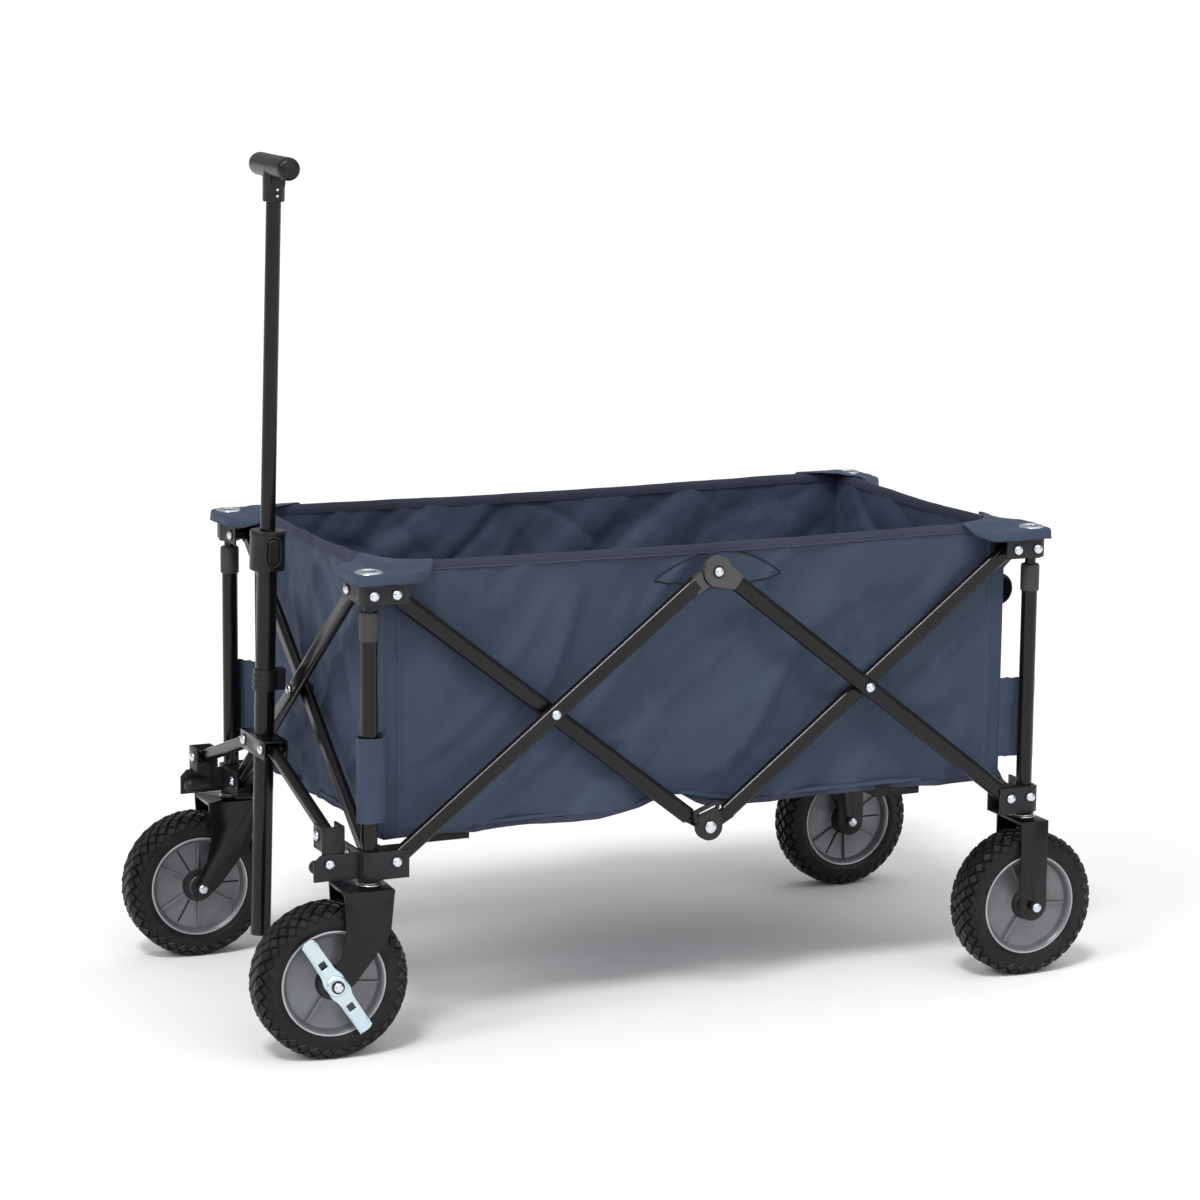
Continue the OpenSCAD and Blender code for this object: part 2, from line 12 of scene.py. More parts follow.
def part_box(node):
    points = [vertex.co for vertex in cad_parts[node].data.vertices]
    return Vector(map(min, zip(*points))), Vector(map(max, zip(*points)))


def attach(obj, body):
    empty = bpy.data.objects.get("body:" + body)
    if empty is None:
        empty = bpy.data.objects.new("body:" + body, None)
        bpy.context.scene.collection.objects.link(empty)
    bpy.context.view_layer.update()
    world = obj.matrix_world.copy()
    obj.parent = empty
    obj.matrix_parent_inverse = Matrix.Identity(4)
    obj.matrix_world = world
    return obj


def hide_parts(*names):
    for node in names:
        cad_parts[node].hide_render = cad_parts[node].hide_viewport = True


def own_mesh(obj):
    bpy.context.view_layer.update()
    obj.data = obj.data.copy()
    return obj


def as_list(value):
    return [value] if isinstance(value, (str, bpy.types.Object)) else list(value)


bl_info = {
    "name": "Folding wagon",
    "version": (1, 0, 0),
    "blender": (4, 5, 0),
    "location": "3D View > Sidebar > Wagon",
    "description": "Builds the visible pieces of a folding wagon on its packed frame",
    "category": "Object",
}

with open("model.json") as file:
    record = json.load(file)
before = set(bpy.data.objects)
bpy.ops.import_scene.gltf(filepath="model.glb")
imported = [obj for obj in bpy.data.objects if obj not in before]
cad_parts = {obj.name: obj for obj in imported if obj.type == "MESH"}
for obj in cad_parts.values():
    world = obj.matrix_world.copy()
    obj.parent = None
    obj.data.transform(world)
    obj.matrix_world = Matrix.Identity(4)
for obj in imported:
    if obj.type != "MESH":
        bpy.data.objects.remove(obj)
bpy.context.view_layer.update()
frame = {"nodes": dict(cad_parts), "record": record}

ENDS = ("front", "rear")
SIDES = ("left", "right")
TAU = math.tau


def middle(node):
    low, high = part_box(node)
    return (Vector(low) + Vector(high)) / 2


POST = {(e, s): middle(f"{e}_{s}_lower_post") for e in ENDS for s in SIDES}
FRONT_X = POST["front", "left"].x
REAR_X = POST["rear", "left"].x
MID_X = (FRONT_X + REAR_X) / 2
HALF_Y = POST["front", "left"].y
LOW_PIVOT = 0.2215
TOP_PIVOT = 0.526
CROSSING_Z = (LOW_PIVOT + TOP_PIVOT) / 2
SIDE_INSET = 0.027
END_INSET = 0.037
AXLE_Z = 0.089
TRAIL = 0.048
CASTER_TURN = {"left": -math.radians(4), "right": -math.radians(2)}
WALL = [Vector(v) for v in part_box("basket_left_wall")]
END_WALL = [Vector(v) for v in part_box("basket_front_wall")]
HEM_Z = WALL[1].z
SKIRT_Z = WALL[0].z
SKIRT_DROP = 0.0085
NOTCH_AT = 0.035
WALL_Y = WALL[1].y
# how the cloth would gather when the wagon folds, towards its front and left posts
LENGTHWISE = {"axis": (1, 0, 0), "anchor": (WALL[1].x, 0, 0), "keep": 0.269}
CROSSWISE = {"axis": (0, 1, 0), "anchor": (0, WALL_Y, 0), "keep": 0.32}
HANDLE_LEAN = math.radians(1.42)
HANDLE_FOOT = Vector((FRONT_X + 0.0407, 0, 0.3116))


# ---------------------------------------------------------------- shaders


class Socket:
    """A value in a shader, so that maths on it reads as an expression."""

    def __init__(self, finish, out):
        self.finish = finish
        self.out = out

    def _maths(self, operation, a, b=None, clamp=False):
        settings = {"operation": operation, "use_clamp": clamp}
        values = {0: a} if b is None else {0: a, 1: b}
        return self.finish.node("ShaderNodeMath", settings, values)

    def __add__(self, other):
        return self._maths("ADD", self, other)

    __radd__ = __add__

    def __sub__(self, other):
        return self._maths("SUBTRACT", self, other)

    def __rsub__(self, other):
        return self._maths("SUBTRACT", other, self)

    def __mul__(self, other):
        return self._maths("MULTIPLY", self, other)

    __rmul__ = __mul__

    def above(self, level, width):
        """0 under level, 1 once width past it."""
        return self._maths("MULTIPLY", self - level, 1 / width, clamp=True)


class Finish:
    """One material, built node by node."""

    def __init__(self, name):
        self.material = bpy.data.materials.new(name)
        self.material.use_nodes = True
        self.tree = self.material.node_tree
        self.shader = self.tree.nodes["Principled BSDF"]

    def node(self, kind, settings=None, values=None, out=0):
        made = self.tree.nodes.new(kind)
        for key, value in (settings or {}).items():
            if key == "stops":
                ramp = made.color_ramp
                for i, (place, colour) in enumerate(value):
                    stop = ramp.elements[i] if i < 2 else ramp.elements.new(place)
                    stop.position = place
                    stop.color = (*colour, 1)
            else:
                setattr(made, key, value)
        for key, value in (values or {}).items():
            self.feed(made.inputs[key], value)
        return Socket(self, made.outputs[out])

    def feed(self, socket, value):
        if isinstance(value, Socket):
            self.tree.links.new(value.out, socket)
        elif hasattr(socket.default_value, "__len__") and len(socket.default_value) == 4:
            socket.default_value = (*value[:3], 1)
        else:
            socket.default_value = value

    def place(self, scale=(1, 1, 1)):
        where = self.node("ShaderNodeTexCoord", out="Object")
        return self.node("ShaderNodeMapping", None, {"Vector": where, "Scale": scale})

    def cloud(self, scale, detail=3, rough=0.5, where=None, twist=0.0):
        return self.node("ShaderNodeTexNoise", None,
                         {"Vector": where or self.place(), "Scale": scale, "Detail": detail,
                          "Roughness": rough, "Distortion": twist})

    def blend(self, mask, a, b):
        return self.node("ShaderNodeMix", {"data_type": "RGBA"}, {0: mask, 6: a, 7: b}, out=2)

    def bump(self, height, strength, distance):
        made = self.node("ShaderNodeBump", None,
                         {"Strength": strength, "Distance": distance, "Height": height})
        self.feed(self.shader.inputs["Normal"], made)

    def surface(self, **values):
        for key, value in values.items():
            self.feed(self.shader.inputs[key.replace("_", " ")], value)
        return self.material


def paint(name, colour, rough, coat=0.0, spread=0.04):
    """Powder coat or lacquer: faint orange peel, a few duller patches."""
    f = Finish(name)
    patches = f.cloud(14, 4)
    peel = f.cloud(900, 2)
    f.bump(peel, 0.10, 0.0003)
    lighter = tuple(c * 1.5 + 0.004 for c in colour)
    return f.surface(Base_Color=f.blend(patches.above(0.45, 0.4), colour, lighter),
                     Roughness=patches * spread * 2 + (rough - spread), Coat_Weight=coat,
                     Coat_Roughness=0.10, Specular_IOR_Level=0.26)


def moulding(name, colour, rough, grain=500, depth=0.0004, metal=0.0):
    """Moulded plastic with a fine spark-eroded grain; metal for flake in the colour."""
    f = Finish(name)
    grains = f.cloud(grain, 3)
    tint = f.cloud(25, 3)
    f.bump(grains, 0.22, depth)
    lighter = tuple(c * 1.35 + 0.006 for c in colour)
    return f.surface(Base_Color=f.blend(tint.above(0.4, 0.5), colour, lighter),
                     Roughness=tint * 0.12 + (rough - 0.06), Specular_IOR_Level=0.34,
                     Metallic=metal)


def plated(name, colour, rough, streaks=220):
    """Zinc or chrome plate with faint polishing streaks."""
    f = Finish(name)
    lines = f.cloud(streaks, 4, where=f.place((1, 1, 0.15)))
    haze = f.cloud(40, 3)
    f.bump(lines, 0.06, 0.0002)
    warmer = (colour[0] * 1.05, colour[1] * 0.99, colour[2] * 0.9)
    return f.surface(Base_Color=f.blend(haze.above(0.4, 0.4), colour, warmer), Metallic=1.0,
                     Roughness=haze * 0.16 + (rough - 0.06))


def rubber(name, colour, rough):
    f = Finish(name)
    dust = f.cloud(60, 5, 0.65)
    f.bump(f.cloud(700, 2), 0.25, 0.0005)
    lighter = tuple(c * 1.8 + 0.008 for c in colour)
    return f.surface(Base_Color=f.blend(dust.above(0.5, 0.3), colour, lighter),
                     Roughness=dust * 0.2 + (rough - 0.1), Specular_IOR_Level=0.28)


def cloth(name, colour, thread=0.0007, rough=0.62, sheen=0.08, crease=0.004):
    """Coated plain weave: over-and-under threads, creased sheen, faint shade changes."""
    f = Finish(name)
    turns = TAU / thread / 20
    warp = f.node("ShaderNodeTexWave", {"wave_type": "BANDS", "bands_direction": "DIAGONAL"},
                  {"Vector": f.place((1, 1, 0)), "Scale": turns, "Distortion": 0.6,
                   "Detail": 1.0, "Detail Scale": 2.0}, out="Fac")
    weft = f.node("ShaderNodeTexWave", {"wave_type": "BANDS", "bands_direction": "Z"},
                  {"Vector": f.place(), "Scale": turns, "Distortion": 0.6, "Detail": 1.0,
                   "Detail Scale": 2.0}, out="Fac")
    weave = warp * weft
    creases = f.cloud(9, 3, 0.5, twist=1.6)
    crumple = f.cloud(34, 3, 0.55, twist=0.8)
    shade = f.cloud(5, 4, 0.6)
    f.bump(weave * 0.05 + creases * 1.6 + crumple * 0.35, 0.6, crease)
    light = tuple(c * 1.3 + 0.001 for c in colour)
    dark = tuple(c * 0.72 for c in colour)
    body = f.blend(shade.above(0.35, 0.4), dark, colour)
    return f.surface(Base_Color=f.blend(weave * 0.5, body, light),
                     Roughness=creases * 0.2 + (rough - 0.1), Specular_IOR_Level=0.28,
                     Sheen_Weight=sheen, Sheen_Roughness=0.45, Sheen_Tint=(0.5, 0.6, 0.85))


# ---------------------------------------------------------------- meshes


def link(name, mesh, *materials):
    made = bpy.data.objects.new(name, mesh)
    bpy.context.scene.collection.objects.link(made)
    for material in materials:
        mesh.materials.append(material)
    return made


def from_bmesh(name, work, look, smooth=True, angle=35):
    bmesh.ops.remove_doubles(work, verts=work.verts, dist=1e-6)
    bmesh.ops.recalc_face_normals(work, faces=work.faces)
    mesh = bpy.data.meshes.new(name)
    work.to_mesh(mesh)
    work.free()
    if smooth:
        mesh.shade_smooth()
        mesh.set_sharp_from_angle(angle=math.radians(angle))
    return link(name, mesh, LOOK[look])


def lathe(work, profile, turns=64, place=None):
    """Spins (radius, height) points round Z; place carries the result to where it belongs."""
    rings = []
    for r, z in profile:
        if r < 1e-7:
            rings.append([work.verts.new((0, 0, z))])
        else:
            rings.append([work.verts.new((r * math.cos(TAU * k / turns),
                                          r * math.sin(TAU * k / turns), z))
                          for k in range(turns)])
    for a, b in zip(rings, rings[1:]):
        for k in range(turns):
            n = (k + 1) % turns
            unique = list(dict.fromkeys(
                (a[k % len(a)], a[n % len(a)], b[n % len(b)], b[k % len(b)])))
            if len(unique) > 2:
                work.faces.new(unique)
    if place is not None:
        bmesh.ops.transform(work, matrix=place, verts=[v for circle in rings for v in circle])


def block(work, low, high, place=None):
    made = bmesh.ops.create_cube(work, size=1)["verts"]
    low, high = Vector(low), Vector(high)
    size = high - low
    matrix = Matrix.Translation((low + high) / 2) @ Matrix.Diagonal((*size, 1))
    if place is not None:
        matrix = place @ matrix
    bmesh.ops.transform(work, matrix=matrix, verts=made)


def rounded(points, radius, steps=5):
    """Rounds each corner of a flat outline."""
    out = []
    count = len(points)
    for i, p in enumerate(points):
        p = Vector(p)
        a = Vector(points[i - 1]) - p
        b = Vector(points[(i + 1) % count]) - p
        r = min(radius, a.length * 0.49, b.length * 0.49)
        start, end = p + a.normalized() * r, p + b.normalized() * r
        for k in range(steps + 1):
            t = k / steps
            out.append(start * (1 - t) ** 2 + p * 2 * t * (1 - t) + end * t * t)
    return out


def arc(radius, start, sweep, steps):
    """Points along a circle; start and sweep in degrees."""
    return [Vector((radius * math.cos(a), radius * math.sin(a))) for a in
            (math.radians(start + sweep * k / steps) for k in range(steps + 1))]


def mirrored(half):
    """A closed profile from the half of it on the side of +Y."""
    return half + [(r, -y) for r, y in half[::-1]] + half[:1]


def turned(name, profile, look, turns, place=None, angle=35):
    """One lathed piece."""
    work = bmesh.new()
    lathe(work, profile, turns, place)
    return from_bmesh(name, work, look, angle=angle)


def turned_pair(name, profile, look, turns, place):
    """The same lathed ring on both faces of a wheel."""
    work = bmesh.new()
    for sign in (1, -1):
        lathe(work, [(r, sign * y) for r, y in profile], turns, place)
    return from_bmesh(name, work, look)


def plate(name, outlines, thickness, bevel, place, look):
    """A sheet with holes, cut from flat outlines and rounded along its edges."""
    curve = bpy.data.curves.new(name, "CURVE")
    curve.dimensions = "2D"
    curve.fill_mode = "BOTH"
    curve.extrude = thickness / 2 - bevel
    curve.bevel_depth = bevel
    curve.bevel_resolution = 2
    curve.offset = -bevel
    for outline in outlines:
        spline = curve.splines.new("POLY")
        spline.points.add(len(outline) - 1)
        for point, p in zip(spline.points, outline):
            point.co = (p[0], p[1], 0, 1)
        spline.use_cyclic_u = True
    return settled(link(name, curve), LOOK[look], place)


def settled(made, material, place=None):
    """The evaluated object as a plain mesh, with no modifier left and its place in its mesh."""
    bpy.context.view_layer.update()
    graph = bpy.context.evaluated_depsgraph_get()
    mesh = bpy.data.meshes.new_from_object(made.evaluated_get(graph), depsgraph=graph)
    name, data = made.name, made.data
    bpy.data.objects.remove(made)
    if data.users == 0 and isinstance(data, bpy.types.Curve):
        bpy.data.curves.remove(data)
    if place is not None:
        mesh.transform(place)
        if place.determinant() < 0:
            mesh.flip_normals()
    mesh.materials.clear()
    mesh.shade_smooth()
    mesh.set_sharp_from_angle(angle=math.radians(35))
    mesh.name = name
    return link(name, mesh, material)


def finished(made, bevel=0.0, smooth=0, wall=0.0, segments=3, sharp=30):
    """Live modifiers that round, smooth or thicken, then applied."""
    if wall:
        mod = made.modifiers.new("Wall", "SOLIDIFY")
        mod.thickness = wall
        mod.offset = 0
    if bevel:
        mod = made.modifiers.new("Edges", "BEVEL")
        mod.width = bevel
        mod.segments = segments
        mod.limit_method = "ANGLE"
        mod.angle_limit = math.radians(sharp)
    if smooth:
        mod = made.modifiers.new("Smooth", "SUBSURF")
        mod.levels = mod.render_levels = smooth
    return settled(made, made.data.materials[0])


def woven(name, rows, look, wall, smooth=0):
    """Cloth through rows of points, and the area of its middle face."""
    work = bmesh.new()
    grid = [[work.verts.new(p) for p in row] for row in rows]
    for a, b in zip(grid, grid[1:]):
        for j in range(len(a) - 1):
            work.faces.new((a[j], b[j], b[j + 1], a[j + 1]))
    made = from_bmesh(name, work, look, angle=180)
    area = sum(face.area for face in made.data.polygons)
    return finished(made, wall=wall, smooth=smooth), area


# ---------------------------------------------------------------- geometry nodes


class Tree:
    """A geometry tree built node by node, with named inputs."""

    def __init__(self, name, inputs):
        self.tree = bpy.data.node_groups.new(name, "GeometryNodeTree")
        face = self.tree.interface
        face.new_socket("Geometry", in_out="INPUT", socket_type="NodeSocketGeometry")
        for label, kind in inputs:
            face.new_socket(label, in_out="INPUT", socket_type=kind)
        face.new_socket("Geometry", in_out="OUTPUT", socket_type="NodeSocketGeometry")
        self.inputs = self.tree.nodes.new("NodeGroupInput").outputs
        self.end = self.tree.nodes.new("NodeGroupOutput").inputs[0]

    def node(self, kind, settings=None, values=None, out=0):
        made = self.tree.nodes.new(kind)
        for key, value in (settings or {}).items():
            setattr(made, key, value)
        for key, value in (values or {}).items():
            if isinstance(value, bpy.types.NodeSocket):
                self.tree.links.new(value, made.inputs[key])
            else:
                made.inputs[key].default_value = value
        return made.outputs[out]

    def finish(self, geometry):
        real = self.node("GeometryNodeRealizeInstances", None, {"Geometry": geometry})
        done = self.node("GeometryNodeSetMaterial", None,
                         {"Geometry": real, "Material": self.inputs["Finish"]})
        self.tree.links.new(done, self.end)
        return self.tree

    @staticmethod
    def use(made, tree, values):
        mod = made.modifiers.new(tree.name, "NODES")
        mod.node_group = tree
        names = {s.name: s.identifier for s in tree.interface.items_tree
                 if s.item_type == "SOCKET" and s.in_out == "INPUT"}
        for label, value in values.items():
            mod[names[label]] = value


def copies_tree():
    """One shape at each point, turned by the point's own facing."""
    t = Tree("Copies", [("Shape", "NodeSocketObject"), ("Finish", "NodeSocketMaterial")])
    shape = t.node("GeometryNodeObjectInfo", {"transform_space": "ORIGINAL"},
                   {"Object": t.inputs["Shape"]}, out="Geometry")
    facing = t.node("GeometryNodeInputNamedAttribute", {"data_type": "FLOAT_VECTOR"},
                    {"Name": "facing"})
    turn = t.node("FunctionNodeEulerToRotation", None, {0: facing})
    spots = t.node("GeometryNodeInstanceOnPoints", None,
                   {"Points": t.inputs["Geometry"], "Instance": shape, "Rotation": turn})
    return t.finish(spots)


def ring_tree():
    """Copies of one shape in a ring about Y, as on a wheel."""
    t = Tree("Ring", [("Shape", "NodeSocketObject"), ("Count", "NodeSocketInt"),
                      ("Radius", "NodeSocketFloat"), ("Offset", "NodeSocketFloat"),
                      ("Phase", "NodeSocketFloat"), ("Finish", "NodeSocketMaterial")])
    shape = t.node("GeometryNodeObjectInfo", {"transform_space": "ORIGINAL"},
                   {"Object": t.inputs["Shape"]}, out="Geometry")
    index = t.node("GeometryNodeInputIndex")
    part = t.node("ShaderNodeMath", {"operation": "DIVIDE"}, {0: index, 1: t.inputs["Count"]})
    angle = t.node("ShaderNodeMath", {"operation": "MULTIPLY_ADD"},
                   {0: part, 1: TAU, 2: t.inputs["Phase"]})
    sine = t.node("ShaderNodeMath", {"operation": "SINE"}, {0: angle})
    cosine = t.node("ShaderNodeMath", {"operation": "COSINE"}, {0: angle})
    x = t.node("ShaderNodeMath", {"operation": "MULTIPLY"}, {0: sine, 1: t.inputs["Radius"]})
    z = t.node("ShaderNodeMath", {"operation": "MULTIPLY"}, {0: cosine, 1: t.inputs["Radius"]})
    spot = t.node("ShaderNodeCombineXYZ", None, {"X": x, "Y": t.inputs["Offset"], "Z": z})
    points = t.node("GeometryNodePoints", None, {"Count": t.inputs["Count"], "Position": spot})
    facing = t.node("ShaderNodeCombineXYZ", None, {"Y": angle})
    turn = t.node("FunctionNodeEulerToRotation", None, {0: facing})
    spots = t.node("GeometryNodeInstanceOnPoints", None,
                   {"Points": points, "Instance": shape, "Rotation": turn})
    return t.finish(spots)


def stitch_tree():
    """Short stitches laid end to end along a seam."""
    t = Tree("Stitches", [("Pitch", "NodeSocketFloat"), ("Length", "NodeSocketFloat"),
                          ("Thread", "NodeSocketFloat"), ("Finish", "NodeSocketMaterial")])
    seam = t.node("GeometryNodeMeshToCurve", None, {"Mesh": t.inputs["Geometry"]})
    spots = t.node("GeometryNodeCurveToPoints", {"mode": "LENGTH"},
                   {"Curve": seam, "Length": t.inputs["Pitch"]})
    rod = t.node("GeometryNodeMeshCylinder", None,
                 {"Vertices": 6, "Radius": t.inputs["Thread"], "Depth": t.inputs["Length"]})
    made = t.node("GeometryNodeInstanceOnPoints", None,
                  {"Points": spots, "Instance": rod, "Rotation": spots.node.outputs["Rotation"]})
    return t.finish(made)


def copies(name, shape, spots, look):
    """spots are (place, facing) pairs; facing is the direction the shape's Z points along."""
    mesh = bpy.data.meshes.new(name)
    mesh.from_pydata([tuple(p) for p, _ in spots], [], [])
    facing = mesh.attributes.new("facing", "FLOAT_VECTOR", "POINT")
    for i, (_, way) in enumerate(spots):
        turn = Vector(way).to_track_quat("Z", "Y").to_euler()
        facing.data[i].vector = (turn.x, turn.y, turn.z)
    made = link(name, mesh)
    Tree.use(made, TREES["copies"], {"Shape": shape, "Finish": LOOK[look]})
    return settled(made, LOOK[look])


def ring(name, shape, count, radius, offset, phase, look, place):
    made = link(name, bpy.data.meshes.new(name))
    Tree.use(made, TREES["ring"], {"Shape": shape, "Count": count, "Radius": radius,
                                   "Offset": offset, "Phase": phase, "Finish": LOOK[look]})
    return settled(made, LOOK[look], place)


def stitches(name, path, pitch=0.0042, length=0.003, thread=0.0004):
    mesh = bpy.data.meshes.new(name)
    edges = [(i, i + 1) for i in range(len(path) - 1)]
    mesh.from_pydata([tuple(p) for p in path], edges, [])
    made = link(name, mesh)
    Tree.use(made, TREES["stitches"], {"Pitch": pitch, "Length": length, "Thread": thread,
                                       "Finish": LOOK["thread"]})
    return settled(made, LOOK["thread"])


def piping(name, path, radius, look, closed=False):
    """A round cord of cloth along a line of points."""
    curve = bpy.data.curves.new(name, "CURVE")
    curve.dimensions = "3D"
    curve.bevel_depth = radius
    curve.bevel_resolution = 2
    curve.use_fill_caps = True
    line = curve.splines.new("POLY")
    line.points.add(len(path) - 1)
    for point, q in zip(line.points, path):
        point.co = (*q, 1)
    line.use_cyclic_u = closed
    return settled(link(name, curve), LOOK[look])


def joined(name, parts):
    """Joins finished objects of one body into one piece, keeping their materials."""
    work = bmesh.new()
    slots = []
    for part in parts:
        material = part.data.materials[0]
        if material not in slots:
            slots.append(material)
        before = len(work.faces)
        work.from_mesh(part.data)
        work.faces.ensure_lookup_table()
        for face in work.faces[before:]:
            face.material_index = slots.index(material)
        bpy.data.objects.remove(part)
    mesh = bpy.data.meshes.new(name)
    work.to_mesh(mesh)
    work.free()
    mesh.set_sharp_from_angle(angle=math.radians(35))
    return link(name, mesh, *slots)


def riding(piece, body, slot, *nodes):
    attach(piece, body)
    if nodes:
        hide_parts(*nodes)
    return piece


TREES = {}
LOOK = {}


# ---------------------------------------------------------------- places


def corner(end, side):
    """From a corner's own frame (post on Z, +X out of the end, +Y out of the side)."""
    flip = Matrix.Diagonal((1 if end == "front" else -1, 1 if side == "left" else -1, 1, 1))
    post = POST[end, side]
    return Matrix.Translation((post.x, post.y, 0)) @ flip


def axle(end, side):
    """From a wheel's own frame, its axle on Y."""
    post = POST[end, side]
    out = Matrix.Diagonal((1, 1 if side == "left" else -1, 1, 1))
    if end == "rear":
        return Matrix.Translation((post.x, post.y, AXLE_Z)) @ out
    turn = Matrix.Rotation(CASTER_TURN[side], 4, "Z")
    return Matrix.Translation((post.x, post.y, AXLE_Z)) @ turn @ \
        Matrix.Translation((TRAIL, 0, 0)) @ out


# faces that bolt heads sit on, measured from a post's axis
BRACKET_SIDE, BRACKET_END, ARM_FACE = 0.0165, 0.0115, 0.0140
FORK_OUTSIDE, FORK_INSIDE = 0.0385, 0.0355
LEVER_FACE = 0.0325
BUTTON_FACE, BUTTON_Z, GRIP_Z = 0.0206, 0.541, 0.983
SMALL_BOLT = 0.0058
LARGE_BOLT = 0.0072
HITCH_PIVOT_X = FRONT_X + 0.047
LINK_FACE_X = FRONT_X + 0.055
LINK_Z = 0.2516
ON_Y = Matrix.Rotation(-math.pi / 2, 4, "X")
HANDLE = Matrix.Translation(HANDLE_FOOT) @ Matrix.Rotation(-HANDLE_LEAN, 4, "Y") @ \
    Matrix.Translation((0, 0, -HANDLE_FOOT.z))


def side_sign(side):
    return 1 if side == "left" else -1


# ---------------------------------------------------------------- properties


def a_length(name, description, default, low, high):
    return FloatProperty(name=name, description=description, default=default, min=low,
                         max=high, subtype="DISTANCE", unit="LENGTH")


def a_colour(name, description, default):
    return FloatVectorProperty(name=name, description=description, default=default, size=3,
                               min=0, max=1, subtype="COLOR")


class WagonSizes(bpy.types.PropertyGroup):
    binding: a_length("Binding", "Depth of the binding along the basket's top edge",
                    0.010, 0.005, 0.03)
    cloth: a_length("Cloth", "Thickness of the basket's cloth", 0.0014, 0.0005, 0.003)
    slack: a_length("Slack", "How far the walls billow between the arms", 0.0130, 0.0, 0.02)
    thread: a_length("Thread", "Spacing of the weave", 0.0007, 0.0005, 0.003)
    knobs: IntProperty(name="Tread knobs", description="Knobs round one row of the tread",
                       default=34, min=20, max=60)
    knob_height: a_length("Knob height", "How far the tread stands proud", 0.0032, 0.001, 0.005)


class WagonColours(bpy.types.PropertyGroup):
    frame: a_colour("Frame", "Gloss coat of the tubes", (0.0026, 0.0026, 0.0029))
    bracket: a_colour("Brackets", "Satin coat of the brackets", (0.0110, 0.0116, 0.0135))
    cloth: a_colour("Cloth", "Basket cloth", (0.0390, 0.0560, 0.0950))
    binding: a_colour("Binding", "Tape that binds the cloth's edges", (0.038, 0.044, 0.070))
    rubber: a_colour("Rubber", "Tyres", (0.0034, 0.0034, 0.0036))
    rim: a_colour("Rims", "Moulded wheel centres", (0.150, 0.156, 0.166))
    zinc: a_colour("Zinc", "Plated bolts and levers", (0.66, 0.72, 0.78))
    hinge: a_colour("Hinge covers", "Moulded covers of the middle hinges", (0.055, 0.055, 0.054))


class WagonPiece:
    bl_options = {"REGISTER", "UNDO"}


# ---------------------------------------------------------------- operators


class MakeFinishes(WagonPiece, bpy.types.Operator):
    """Build every material and geometry tree"""

    bl_idname = "wagon.finishes"
    bl_label = "Finishes"

    def execute(self, context):
        c = context.scene.wagon_colours
        sizes = context.scene.wagon_sizes
        LOOK.update(
            frame=paint("Gloss black coat", tuple(c.frame), 0.22, coat=0.12),
            bracket=paint("Satin bracket coat", tuple(c.bracket), 0.42, coat=0.1),
            collar=moulding("Collar plastic", (0.032, 0.032, 0.034), 0.5),
            clamp=moulding("Handle plastic", (0.0055, 0.0055, 0.006), 0.34, grain=700),
            grip=moulding("Grip plastic", (0.0055, 0.0055, 0.006), 0.3, grain=800),
            hinge=moulding("Hinge cover plastic", tuple(c.hinge), 0.42),
            wedge=moulding("Lower hinge plastic", (0.012, 0.012, 0.013), 0.45),
            tyre=rubber("Tyre rubber", tuple(c.rubber), 0.46),
            rim=moulding("Rim plastic", tuple(c.rim), 0.36, grain=420, metal=0.45),
            # the rim lip's lighter colour is a painted highlight along the rim's edge
            lip=moulding("Rim lip", tuple(v * 2.6 for v in c.rim), 0.3, metal=0.5),
            slit=moulding("Rim slits", (0.004, 0.004, 0.004), 0.7),
            # near-black strips between the inside ribs are painted shade standing for slits
            hub=moulding("Hub ring plastic", (0.012, 0.012, 0.013), 0.4),
            zinc=plated("Bright zinc", tuple(c.zinc), 0.26),
            lever=plated("Blue zinc", (0.60, 0.72, 0.80), 0.32, streaks=150),
            cloth=cloth("Navy cloth", tuple(c.cloth), thread=sizes.thread),
            binding=cloth("Binding tape", tuple(c.binding), thread=0.0016, rough=0.8,
                          sheen=0.08, crease=0.0008),
            strap=cloth("Black webbing", (0.005, 0.005, 0.0055), thread=0.002, sheen=0.05,
                        crease=0.0008),
            piping=cloth("Piping", (0.012, 0.013, 0.020), thread=0.0012, sheen=0.03,
                         crease=0.0004),
            thread=moulding("Seam thread", (0.075, 0.085, 0.125), 0.7),
        )
        TREES.update(copies=copies_tree(), ring=ring_tree(), stitches=stitch_tree())
        return {"FINISHED"}


class FinishFrame(WagonPiece, bpy.types.Operator):
    """Give the tubes, brackets and forks their coats"""

    bl_idname = "wagon.frame_coats"
    bl_label = "Frame coats"

    def softened(self, node, look, width):
        """A copy of a pressed or bent piece with its edges rounded."""
        work = bmesh.new()
        work.from_mesh(frame["nodes"][node].data)
        bmesh.ops.remove_doubles(work, verts=work.verts, dist=2e-6)
        bmesh.ops.dissolve_limit(work, angle_limit=math.radians(1), verts=work.verts,
                                 edges=work.edges)
        made = finished(from_bmesh(f"{node}_look", work, look), bevel=width, segments=2,
                        sharp=50)
        body = next(b for b, nodes in frame["record"]["behaviour"]["bodies"].items()
                    if node in nodes)
        slot = next(p["material_slot"] for p in frame["record"]["subparts"]
                    if p["node"] == node)
        riding(made, body, slot, node)

    def execute(self, context):
        for name, made in frame["nodes"].items():
            look = "frame"
            if name.endswith(("bottom_bracket", "top_bracket", "hitch")):
                look = "bracket"
            elif name == "handle_clip":
                look = "clamp"
            made.data.materials.clear()
            made.data.materials.append(LOOK[look])
            if name.endswith(("_fork", "_bracket", "_hitch")):
                self.softened(name, look, 0.0011 if name.endswith("_fork") else 0.0007)
        return {"FINISHED"}


